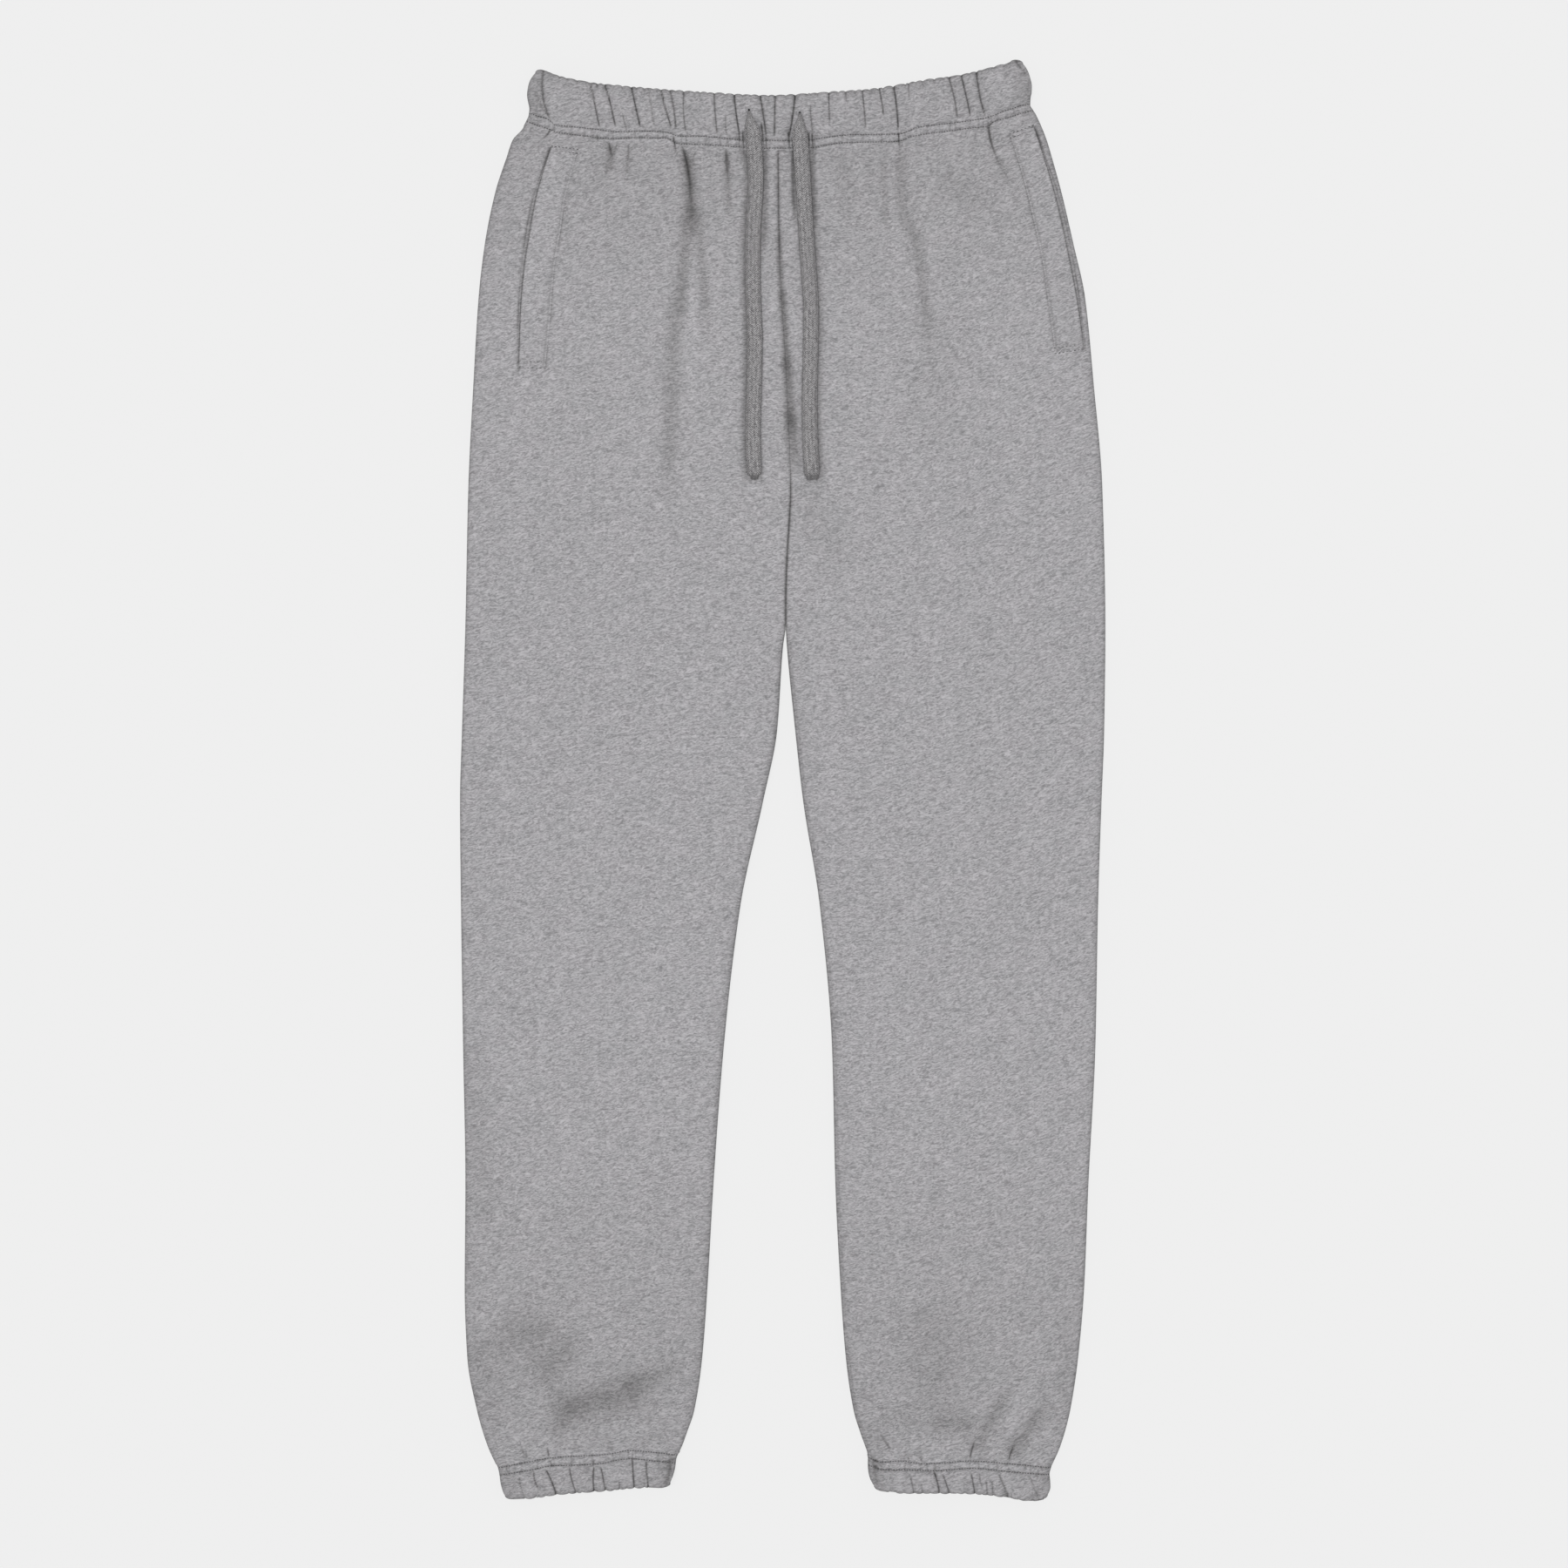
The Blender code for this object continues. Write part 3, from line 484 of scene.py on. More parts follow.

# %% Soft folds of the fronts, troughs with a positive depth and ridges with a negative one
# The second number of each fold is painted shade in its trough; where it is negative, on a ridge, it
# is painted light.
SOFT_FOLDS = folds((
    (1.6, 0.4, 4.2, -71.6, 458, -66.8, 430, -65.2, 386),
    (1.9, 0.26, 4.6, -67.6, 424, -72.2, 366, -76.6, 326),
    (1.6, 0.2, 6, -73.8, 362, -79, 310, -83, 190),
    (1.2, 0.2, 3.4, -62.6, 420, -58, 374, -54.6, 310),
    (-0.9, -0.07, 3.6, -66, 400, -65.8, 350, -64, 250),
    (1.4, 0.3, 2.6, -125.4, 460, -124.4, 450, -127, 436),
    (0.8, 0.07, 7, -131, 452, -130, 440, -127, 420),
    (0.8, 0.1, 3.4, -111, 459, -111.4, 448, -114, 428),
    (1, 0.2, 2.2, -41.5, 459, -39.6, 438, -37.8, 398),
    (1.2, 0.34, 2.4, -13.4, 464, -13.2, 420, -14.8, 370),
    (1.2, 0.52, 1.5, 8.6, 461, 7.6, 438, 9.6, 398),
    (1, 0.2, 2.4, 21.6, 462, 21.4, 440, 22.4, 396),
    (-0.8, -0.05, 2.8, -7.6, 453, -7.2, 425, -6.4, 385),
    (1.1, 0.15, 2.8, 73.6, 458, 73.6, 426, 75.4, 388),
    (-0.8, -0.07, 3.4, 78.6, 456, 79.4, 416, 87, 362),
    (1.7, 0.18, 3.8, 86.4, 462, 86.2, 424, 92, 388),
    (1.7, 0.22, 3.6, 89.6, 410, 98.6, 378, 106, 308),
    (1.3, 0.14, 3.6, 155.4, 452, 159.2, 444, 163.6, 430),
    (0.8, 0.09, 9, 114, 440, 127, 428, 150, 406),
    (0.9, 0.1, 5.5, 38, 457, 45, 436, 52, 408),
    (0.8, 0.06, 4, 60, 456, 63.6, 442, 66, 428),
    (1.3, 0.3, 2.4, -2.8, 398, -1.6, 366, 0.4, 336),
    (1.6, 0.42, 2.7, -0.8, 358, 1.9, 324, 3.6, 286),
    (1.8, 0.43, 3.7, 2.8, 312, 4.9, 278, 6.2, 236),
    (1.5, 0.32, 4.6, 5.6, 272, 7.8, 246, 7.2, 218),
    (0.8, 0.08, 16, 16, 216, 32, 176, 52, 142),
    (0.8, 0.05, 22, 100, 350, 112, 300, 104, 230),
    (1.7, 0.14, 24, -206, -386, -178, -410, -146, -428),
    (1.1, 0.1, 5, -200, -401, -180, -400, -160, -390),
    (1.1, 0.12, 8, -178, -434, -164, -424, -146, -402),
    (1.1, 0.18, 9.5, -166, -455, -138, -449, -90, -439),
    (1, 0.15, 17, -174, -458, -138, -451, -74, -434),
    (0.9, 0.17, 7, -118, -441, -94, -431, -66, -423),
    (0.9, 0.14, 8, -168, -476, -158, -462, -144, -446),
    (0.7, 0.12, 4, -104, -480, -92, -475, -80, -466),
    (0.8, 0.08, 15, -220, -400, -211, -445, -196, -484),
    (0.8, 0.08, 11, -225, -190, -217, -275, -209, -350),
    (1.5, 0.11, 24, 104, -374, 110, -425, 106, -478),
    (1.4, 0.19, 7, 106, -468, 128, -465, 146, -472),
    (0.9, 0.09, 9, 70, -462, 84, -462, 100, -468),
    (1.7, 0.22, 5, 137, -488, 150, -465, 166, -434),
    (1.7, 0.24, 5.4, 164, -492, 177, -470, 196, -446),
    (-0.8, -0.06, 5, 160, -478, 170, -458, 176, -436),
    (0.9, 0.05, 9, 212, -376, 204, -420, 197, -470),
    (0.9, 0.09, 6, 61, -462, 66, -477, 72, -490),
))

# %% The cuffs' pleats and tucks
CUFF_GATHERS = {
    "right": creases((
        (0.7, 0.8, -190.5, -502, -189.2, -510, -186.5, -518.5),
        (1.2, 0.75, -179.9, -498.5, -179.4, -504.6, -177, -511),
        (1.8, 0.8, -172.2, -497.5, -168.1, -504, -163, -517.5),
        (1.3, 0.75, -154.2, -495, -152.4, -505.3, -148.6, -516.5),
        (1.5, 0.75, -136.3, -495, -136.9, -505.3, -136, -516.5),
        (1.4, 0.75, -131.8, -495, -129.7, -504.6, -127.6, -515.5),
        (0.9, 0.75, -118.1, -505.5, -118.1, -510.3, -117.9, -514.5),
        (1.6, 0.75, -108.9, -489, -108, -501.5, -107.2, -513.5),
        (1.4, 0.75, -98.8, -491, -98, -503.4, -96.8, -513),
        (1, 0.8, -82.6, -490, -81.4, -498, -84, -508),
        (1, 2.4, -79.6, -488, -81.4, -498, -84.6, -511),
    )),
    "left": creases((
        (0.9, 1.8, 65, -489, 66, -497, 67.6, -509),
        (0.9, 0.75, 92, -501.5, 93.4, -507.8, 95.4, -517),
        (0.7, 0.75, 99.6, -507, 100.6, -511, 101.6, -517),
        (1.9, 0.8, 109, -498.5, 111.6, -506.5, 113.6, -517),
        (1.2, 0.75, 115.4, -500.5, 118.1, -507.8, 121.2, -517),
        (1.3, 0.75, 136.2, -500, 137.7, -508.4, 139.4, -518),
        (0.8, 0.75, 142, -500, 142.7, -506, 144.2, -511),
        (0.9, 0.75, 147.2, -506, 147.5, -511, 148, -517),
        (0.9, 0.75, 151.3, -506, 151.6, -511.8, 152.3, -519),
        (1.2, 0.8, 156.2, -500.5, 159.7, -509, 164.2, -520),
        (0.7, 0.8, 159, -511, 161, -515, 163.4, -520),
        (0.9, 0.8, 178.4, -501.5, 181.1, -509.7, 185.6, -520.5),
    )),
}
CUFF_TUCKS = {
    "right": creases((
        (1.2, 0.85, -171.2, -480.5, -169.8, -485.1, -169.2, -489.5),
        (1.1, 0.85, -190.5, -481, -187.4, -485.7, -184.3, -489.7),
        (1, 0.8, -169.8, -489.6, -167.9, -492.7, -166.6, -496),
        (0.8, 0.8, -108.6, -485, -108.6, -488, -108.6, -491),
        (0.8, 0.8, -137, -489, -136.6, -492, -136.4, -495),
        (1.3, 1.3, -78.6, -484, -77.4, -488, -77.6, -494),
        (0.4, 2.6, -128, -474, -126, -479, -124, -485),
        (0.4, 2.6, -152, -474, -150, -479.5, -149, -486),
    )),
    "left": creases((
        (1.1, 0.85, 98.6, -480, 99.6, -486.4, 100.6, -493.5),
        (0.9, 0.85, 88.5, -484.5, 89.8, -488.2, 91.7, -492),
        (1.5, 0.9, 141, -474, 138, -480.8, 135.2, -490.5),
        (1.5, 0.9, 171, -476.5, 166.4, -483.4, 163.4, -492),
        (0.9, 1.3, 68.6, -470, 73.4, -477, 78.4, -484.4),
        (1, 1.2, 62.4, -489.5, 65.6, -491.4, 69.4, -493),
        (1, 1.3, 63, -494, 65.8, -495.4, 69.6, -497),
        (0.8, 0.8, 111, -493.5, 110.6, -496, 109.8, -499),
    )),
}
print("pleats and tucks at the waist:", len(WAIST_GATHERS), len(WAIST_TUCKS))
print("soft folds:", len(SOFT_FOLDS))

# %% Twin-needle rows, from the wearer's right to the left
WAIST_ROWS = (
    Table(("x", "y"), (
        (-183.8, 482.6), (-178, 480.6), (-171, 478.6), (-167.8, 476.6), (-164.5, 473.8),
        (-153.4, 472.8), (-132, 470.4), (-119.6, 468.9), (-103, 469.4), (-83, 468.4),
        (-75.5, 465.9), (-60.2, 465.7), (-29.9, 463.3), (-11.7, 462.9), (4.7, 462.6), (20.5, 463.5),
        (47, 466.6), (83.5, 467.4), (98.6, 472.2), (135.7, 477), (149, 479.6), (160.3, 484),
        (180.2, 489.8))),
    Table(("x", "y"), (
        (-184.6, 476.4), (-174.8, 472.9), (-167.6, 470.6), (-163.6, 469), (-139.5, 465.8),
        (-120.6, 464.2), (-105, 464.8), (-84.5, 464.3), (-74, 460.4), (-57.6, 459.9),
        (-32.4, 458.3), (-11.7, 457.3), (20.5, 457.9), (42, 461), (83.2, 462.3), (93.6, 465.8),
        (110, 468.4), (135.7, 471.8), (148.8, 473.4), (152.6, 476.4), (163, 479.4), (172, 482.3),
        (181.6, 484.8))),
)
CUFF_ROWS = {
    "right": (
        Table(("x", "y"), (
            (-205, -497.1), (-184.3, -492.9), (-165.4, -489.7), (-126.3, -487.2), (-109.9, -484.6),
            (-92.9, -485.9), (-76.4, -488))),
        Table(("x", "y"), (
            (-204.6, -502.3), (-184.3, -499), (-167.3, -495.6), (-136.4, -494.4), (-109.9, -490.4),
            (-92.9, -492), (-77.4, -493.6)))),
    "left": (
        Table(("x", "y"), (
            (61.2, -489.6), (71.5, -492.9), (85.4, -492.1), (101.7, -494.2), (137.7, -492.2),
            (161.6, -494), (194.4, -497.1))),
        Table(("x", "y"), (
            (62, -495), (71.5, -498.1), (91.7, -498.4), (111.8, -499), (137.7, -497.3),
            (161.6, -499.5), (193.8, -502.2)))),
}


# %% Lines through three places, and what lies near them
# Painted shade in a pleat's cleft for each mm of depth, and the darkest it may get.
CLEFT_SHADE, CLEFT_DARKEST = 0.5, 0.8


def bowed(path, count=13):
    """Close places on the curve through three measured ones."""
    start, middle, end = np.reshape(path, (3, 2)).astype(float)
    bend = 2 * middle - (start + end) / 2
    share = np.linspace(0, 1, count)[:, None]
    return mix(mix(start, bend, share), mix(bend, end, share), share)


def near(line, x, y):
    """How far points are from a line of close places, and where along it, from 0 to 1."""
    starts, spans = line[:-1], np.diff(line, axis=0)
    lengths = np.linalg.norm(spans, axis=1)
    reach = np.append(0, np.cumsum(lengths))
    to_x, to_y = x[:, None] - starts[:, 0], y[:, None] - starts[:, 1]
    share = np.clip((to_x * spans[:, 0] + to_y * spans[:, 1]) / lengths**2, 0, 1)
    away = np.hypot(to_x - share * spans[:, 0], to_y - share * spans[:, 1])
    best = away.argmin(axis=1)
    rows = np.arange(len(x))
    along = (reach[best] + share[rows, best] * lengths[best]) / reach[-1]
    return away[rows, best], along


def around(line, margin, x, y):
    """Which points lie in the box round a line, with a margin."""
    low, high = line.min(axis=0) - margin, line.max(axis=0) + margin
    return np.flatnonzero((x > low[0]) & (x < high[0]) & (y > low[1]) & (y < high[1]))


# %% Creases pressed into a face
def press(x, y, items, section, fade_start, fade_end, reach):
    """How far the items lower the cloth at each point, and how much painted shade they put on it."""
    drop, light = np.zeros(x.size), np.ones(x.size)
    flat_x, flat_y = x.ravel(), y.ravel()
    for item in items:
        line = bowed(item.path)
        found = around(line, reach * item.width, flat_x, flat_y)
        if not found.size:
            continue
        away, along = near(line, flat_x[found], flat_y[found])
        fade = rise(along / fade_start) if fade_start else 1.0
        fade = fade * rise((1 - along) / fade_end) if fade_end else fade
        lowered, shaded = section(away / item.width, item)
        drop[found] += lowered * fade
        light[found] *= 1 - shaded * fade
    return drop.reshape(x.shape), 1 - light.reshape(x.shape)


def sharp_section(away, crease):
    """A pleat: a sharp cleft between two soft shoulders, with painted shade in the cleft."""
    drop = crease.depth * (0.68 * np.exp(-away) + 0.32 * np.exp(-((away / 4.5) ** 2)))
    dark = np.minimum(CLEFT_DARKEST, CLEFT_SHADE * crease.depth)
    return drop, dark * (0.9 * np.exp(-((away / 0.68) ** 1.8)) + 0.1 * np.exp(-away / 2.4))


def soft_section(away, fold):
    """A fold: one round trough, and the painted shade in it."""
    trough = np.exp(-(away**2))
    return fold.depth * trough, fold.shade * trough


# %% [markdown]
# ## The height of the cloth
#
# The cloth's upper face is one height over the whole front, so that the fronts, the casings, the
# stitches and the pockets all agree about where the surface is. It is a level top, a slow uneven
# wave that keeps a large plain leg from looking like card, and then all that presses it down.

# %% One height for everything on the front
# Painted shade, by the names that end in SHADE: at outlines, towards the ankles, beside the cords,
# in the sewn grooves and puckers, and at the ends of the casings.
RIM_SHADE, RIM_WIDTH = 0.45, 1.0
RIM_SOFT_SHADE, RIM_SOFT_WIDTH = 0.06, 6.0
ANKLE_SHADE, ANKLE_FROM, ANKLE_BLEND = 0.08, -200, 260
CORD_SHADE, CORD_SHADE_WIDTH, CORD_INNER_SHADE_WIDTH, CORD_SINK = 0.33, 3.3, 0.6, 0.7
GROOVE_DEPTH, GROOVE_WIDTH, GROOVE_SHADE = 0.8, 0.9, 0.3
GATHER_DEEPER = 1.1
CREASE_REACH, FOLD_REACH = 7, 2.6
END_SHADE, END_WIDTH = 0.09, 15
MOST_DROP = 1.95
BAND_PUFF = 0.5
PUCKER_DEPTH, PUCKER_SHADE = 0.3, 0.2
PUCKER_PITCHES = (2.9, 3.7, 4.6, 6.1)
WAVES, WAVE_LENGTHS, WAVE_STEEPNESS = 16, (34, 130), 0.0014
FRONT_WAVE, SEAM_CALM = 5, 0.6


# %% Slow waves
def wave(x, y, seed, size=1.0):
    """A slow uneven wave, the same each time for one seed."""
    chance = np.random.default_rng(seed)
    total = np.zeros(np.broadcast(x, y).shape)
    for _ in range(WAVES):
        length = chance.uniform(*WAVE_LENGTHS)
        lean = chance.uniform(-1.0, 1.0)
        place = (math.cos(lean) * x + math.sin(lean) * y) * (2 * math.pi / length)
        total += length * WAVE_STEEPNESS * np.sin(place + chance.uniform(0, 6.3))
    return total * size


# %% Sewn rows, outlines and cords
def puckers(x, seed):
    """Small uneven tucks across a sewn band, from 0 to 1, where the thread has drawn it up."""
    chance = np.random.default_rng(seed)
    total = np.zeros(x.shape)
    for pitch in PUCKER_PITCHES:
        total += np.sin(2 * math.pi * x / pitch + 2.5 * np.sin(x / chance.uniform(9, 17)))
    return rise(total / 2.2 - 0.15)


def grooves(x, y, rows):
    """Twin-needle rows press a groove each, and the puckered band between them stands up; both get
    painted shade.
    """
    first, second = (row("y", x) for row in rows)
    drop, shade = np.zeros(x.shape), np.zeros(x.shape)
    for row in (first, second):
        away = abs(y - row) / GROOVE_WIDTH
        drop += GROOVE_DEPTH * np.exp(-(away**2))
        shade += GROOVE_SHADE * np.exp(-((away * 1.5) ** 2))
    middle, half = (first + second) / 2, abs(first - second) / 2
    across = abs(y - middle) / half
    band = np.exp(-((across / 0.75) ** 4))
    tucks = puckers(x, 9) * np.exp(-((across / 1.35) ** 6))
    drop += PUCKER_DEPTH * tucks - BAND_PUFF * band
    return drop, darker(shade, PUCKER_SHADE * tucks)


def rim_shade(away):
    """Painted shade at an outline, where the cloth turns away from the light."""
    return RIM_SHADE * np.exp(-away / RIM_WIDTH) + RIM_SOFT_SHADE * np.exp(-away / RIM_SOFT_WIDTH)


def cord_sink_and_shadow(x, y):
    """Cloth sinks where a cord lies on it, and painted shadow lies beside the cord, wider on its
    outer side.
    """
    drop, light = np.zeros(np.broadcast(x, y).shape), np.ones(np.broadcast(x, y).shape)
    for side, route in CORD_ROUTES.items():
        line = np.array(route)[::-1]
        centre = np.interp(y, line[:, 1], line[:, 0])
        outward = (x - centre) * SIGN[side]
        beside = abs(outward) - CORD_WIDTH / 2
        there = rise((y - line[0, 1] + 2) / 5) * rise((line[-1, 1] - 12 - y) / 22)
        width = np.where(outward > 0, CORD_SHADE_WIDTH, CORD_INNER_SHADE_WIDTH)
        light *= 1 - there * CORD_SHADE * np.exp(-((np.maximum(beside, 0) / width) ** 2))
        drop += there * CORD_SINK * np.exp(-((np.maximum(beside + 2, 0) / 3) ** 2))
    return drop, 1 - light


# %% The height of the front
def waist_pull(y):
    return 1 - rise((WAIST_STATION - y) / WAIST_BLEND)


def cuff_pull(y):
    return 1 - rise((y - CUFF_STATION) / CUFF_BLEND)


def soft_height(x, y):
    """The level top of the front with its wave, calmer at the seams, and its soft folds."""
    drop, shade = press(x, y, SOFT_FOLDS, soft_section, 0.14, 0.34, FOLD_REACH)
    top = mix(LEG_HEIGHT, WAIST_SEAM_HEIGHT, waist_pull(y))
    calm = mix(1, SEAM_CALM, np.maximum(waist_pull(y), cuff_pull(y)))
    return top - drop + wave(x, y, FRONT_WAVE) * calm, shade


# Each set of creases, the shares of a crease over which it fades in and out, and its depth's factor
CRISP_SETS = (
    (WAIST_TUCKS, 0.12, 0.75, 1), (CUFF_TUCKS["right"], 0.6, 0.12, 1),
    (CUFF_TUCKS["left"], 0.6, 0.12, 1), (WAIST_GATHERS, 0, 0.14, GATHER_DEEPER),
    (CUFF_GATHERS["right"], 0.14, 0, GATHER_DEEPER), (CUFF_GATHERS["left"], 0.14, 0, GATHER_DEEPER))


def crisp_drop(x, y):
    """What the narrow creases take off the front, and their painted shade."""
    drop, shade = np.zeros(x.shape), np.zeros(x.shape)
    for items, start, end, factor in CRISP_SETS:
        lowered, shaded = press(x, y, items, sharp_section, start, end, CREASE_REACH)
        drop, shade = drop + factor * lowered, darker(shade, shaded)
    return drop, shade


# %% [markdown]
# ## The grain of the marl
#
# Marl is spun from light and dark fibres, and knitting draws them out into short strokes across
# the leg. The strokes tilt as the cloth was cut and laid: almost level beside the inseams, and up
# to about 17 degrees on the outside of the left leg. A grain map says so once, by sliding each
# point up or down by the height of a gentle curve at its x.

# %% Grain map
GRAIN_SLOPES = Table(("x", "slope"), (
    (-240, 0.2), (-120, 0.18), (-30, 0.1), (30, 0.1), (90, 0.19), (160, 0.28), (240, 0.32)))
GRAIN_X = np.linspace(-260, 260, 521)
GRAIN_RISE = np.cumsum(GRAIN_SLOPES("slope", GRAIN_X))
print("the grain rises from side to side by", round(GRAIN_RISE[-1]), "mm")


def grain_of(x, y):
    x, y = np.broadcast_arrays(x, y)
    return np.stack([x, y - np.interp(x, GRAIN_X, GRAIN_RISE)], axis=-1)


# %% [markdown]
# ## Front panels
#
# Each front runs from the waist stitching to the cuff stitching and from the centre seam to the
# side. Rows of points follow the slanting waist and straighten down the leg. The cloth turns round
# at the sides to meet the back, and points crowd at that turn, near the waist and near the creases,
# because an even grid fine enough for a 1 mm crease would need millions of faces.

# %% Rows and columns of a panel
EDGE_STEPS = EDGE_RADIUS * (1 - np.cos(np.radians(np.linspace(0, 90, 9))))
ROW_GAPS = Table(("down", "gap"), (
    (0, 0.8), (8, 0.9), (14, 1.7), (70, 2.2), (120, 4), (200, 5.5), (870, 5.5), (905, 2.4),
    (928, 1.1), (940, 0.8)))
CREASE_GAP, PLAIN_GAP = 0.5, 2.0
PANEL_CREASES = {
    "right": (-134, -124, -112, -77, -71, -66, -40, -29, -14, -170, -187),
    "left": (5, 8, 20, 84, 150, 156, 137, 167, 100, 75),
}


# %% A panel's grid
def panel_frame(side, rows, shares, seam_shift=0.0):
    """The places of a panel's grid, how far each is from both long edges, and its roundness."""
    sign = SIGN[side]
    station = rows[:, None]
    pull = waist_pull(station)
    cuff = CUFF_EDGES[side]

    def along_leg(x):
        waist = WAIST_EDGES("seam_y", x) - WAIST_STATION
        return station + waist * pull + (cuff("seam_y", x) - CUFF_STATION) * cuff_pull(station)

    seam_outer = SIDE_SEAMS(side, WAIST_EDGES("seam_y", sign * WAIST_HALF_WIDTH))
    outer_y = along_leg(mix(SIDE_SEAMS(side, station), seam_outer, pull))
    inner_y = along_leg(inner_edge(side, station))
    inner_x = inner_edge(side, inner_y) + sign * 0.04
    inner_x = inner_x + seam_shift * rise((station - CROTCH_Y - 4) / 10)
    outer_x = SIDE_SEAMS(side, outer_y)
    width = abs(outer_x - inner_x)
    away = np.concatenate([
        np.broadcast_to(EDGE_STEPS, (len(rows), len(EDGE_STEPS))),
        EDGE_RADIUS + (width - 2 * EDGE_RADIUS) * shares,
        width - EDGE_STEPS[::-1]], axis=1)
    x = inner_x + sign * away
    roundness = rise((CROTCH_Y + 6 - station) / CROTCH_BLEND)
    return x, along_leg(x), away, width - away, roundness


def arch(away):
    """How high a rounded edge has risen at a distance from the edge."""
    return np.sqrt(np.maximum(0, 1 - (1 - np.minimum(away / EDGE_RADIUS, 1)) ** 2))


def turned_in(side, x, from_inner, from_outer, roundness):
    """The x of a panel's inner face, which stands in by the cloth's thickness at a rounded edge."""
    outer = WALL * (1 - np.minimum(from_outer / EDGE_RADIUS, 1))
    inner = WALL * (1 - np.minimum(from_inner / EDGE_RADIUS, 1)) * roundness
    return x + SIGN[side] * (inner - outer)


# %% Both fronts
SEAM_DROP, SEAM_WIDTH = 1.6, 1.7
# How much painted shade lies along the centre seam, and how deep it pulls the cloth, by y.
CENTRE_PULL = Table(("y", "shade", "drop"), (
    (457, 0.1, 1), (449, 0.5, 1), (400, 0.5, 1), (375, 0.26, 0.7), (340, 0.1, 0.5), (240, 0.1, 0.5),
    (222, 0.36, 0.7), (205, 0.6, 1), (100, 0.66, 1)))
INSEAM_IN, INSEAM_WIDTH = 2.4, 0.6
INSEAM_PRESS = {"right": 0.2, "left": 0.45}
# Painted shade below the waist, fading out over this many mm.
WAIST_SHADE, WAIST_SHADE_REACH = 0.09, 140
PANEL_CENTRE, PANEL_WIDTH = -3.5, 187
FRONT_THINNING, BACK_THINNING = (5, 6), (4, 4)
MEETING_GAP = 0.05


# %% One front
def front_panel(side):
    rows = WAIST_STATION - paced(0, WAIST_STATION - CUFF_STATION, lambda at: ROW_GAPS("gap", at))
    span = PANEL_WIDTH - 2 * EDGE_RADIUS
    creased = np.array(PANEL_CREASES[side])
    spots = (abs(creased - PANEL_CENTRE) - EDGE_RADIUS) / span

    def gap(at):
        closest = abs(spots - at).min() * span
        return mix(CREASE_GAP, PLAIN_GAP, rise((closest - 2.2) / 6)) / span

    shares = paced(0, 1, gap)[1:-1]
    x, y, from_inner, from_outer, roundness = panel_frame(side, rows, shares)
    soft, soft_shade = soft_height(x, y)
    drop, crisp_shade = crisp_drop(x, y)
    pocket_dip, pocket_shade = pocket_grooves_and_shade(side, x, y)
    cord_dip, cord_shade = cord_sink_and_shadow(x, y)
    drop = drop + pocket_dip + cord_dip
    for sewn in (WAIST_ROWS, CUFF_ROWS[side]):
        groove, groove_shade = grooves(x, y, sewn)
        drop, crisp_shade = drop + groove, darker(crisp_shade, groove_shade)
    # The centre seam pulls both fronts down to it, and the inseam lies just inside the edge. Both
    # carry painted shade along them.
    seam = SEAM_DROP * CENTRE_PULL("drop", y) * np.exp(-from_inner / SEAM_WIDTH) * (1 - roundness)
    seam_shade = CENTRE_PULL("shade", y) * np.exp(-((from_inner / 1.0) ** 1.6)) * (1 - roundness)
    inseam = np.exp(-(((from_inner - INSEAM_IN) / INSEAM_WIDTH) ** 2)) * roundness
    inseam = inseam * INSEAM_PRESS[side]
    lower = EDGE_RADIUS + MEETING_GAP
    bend = arch(from_outer) * mix(1, arch(from_inner), roundness)
    top = soft - np.minimum(drop + seam + inseam, MOST_DROP)
    outer = np.stack([x, y, mix(lower, top, bend)], axis=-1)
    # Painted shade from the outlines, below the waist and towards the ankles, joined with that of
    # the folds, creases, seams, pockets and cords.
    rim = rim_shade(from_outer) + rim_shade(from_inner) * roundness
    below_waist = WAIST_SHADE * (1 - rise((WAIST_STATION - rows[:, None]) / WAIST_SHADE_REACH))
    ankle = ANKLE_SHADE * rise((ANKLE_FROM - rows[:, None]) / ANKLE_BLEND)
    shade = darker(soft_shade, crisp_shade, seam_shade, 0.3 * inseam, pocket_shade, cord_shade,
                   rim, below_waist, ankle)
    # The inner face has fewer points, so it keeps below the lowest of the outer ones around them
    lowest = soft - WALL
    for axis, reach in enumerate(FRONT_THINNING):
        moved = [np.roll(lowest, step, axis) for step in range(-reach, reach + 1)]
        lowest = np.minimum.reduce(moved)
    under_x = turned_in(side, x, from_inner, from_outer, roundness)
    inner = np.stack([under_x, y, mix(lower, lowest, bend)], axis=-1)
    return shell("front_" + side, outer, inner, FRONT_THINNING, grain_of(x, y), shade)


# %% [markdown]
# ## Welt pockets
#
# A pocket mouth slants down each hip. On its inner side the front is folded back to make a welt
# about 20 mm wide, held by a line of topstitching, with two short rows at the top and bottom. Past
# the mouth a narrow sliver of the pocket's facing shows, in the shadow of the welt, which is painted
# on it as shade. The welt is a thin strip on the front that is level with it at the stitching and
# rises to its folded edge.

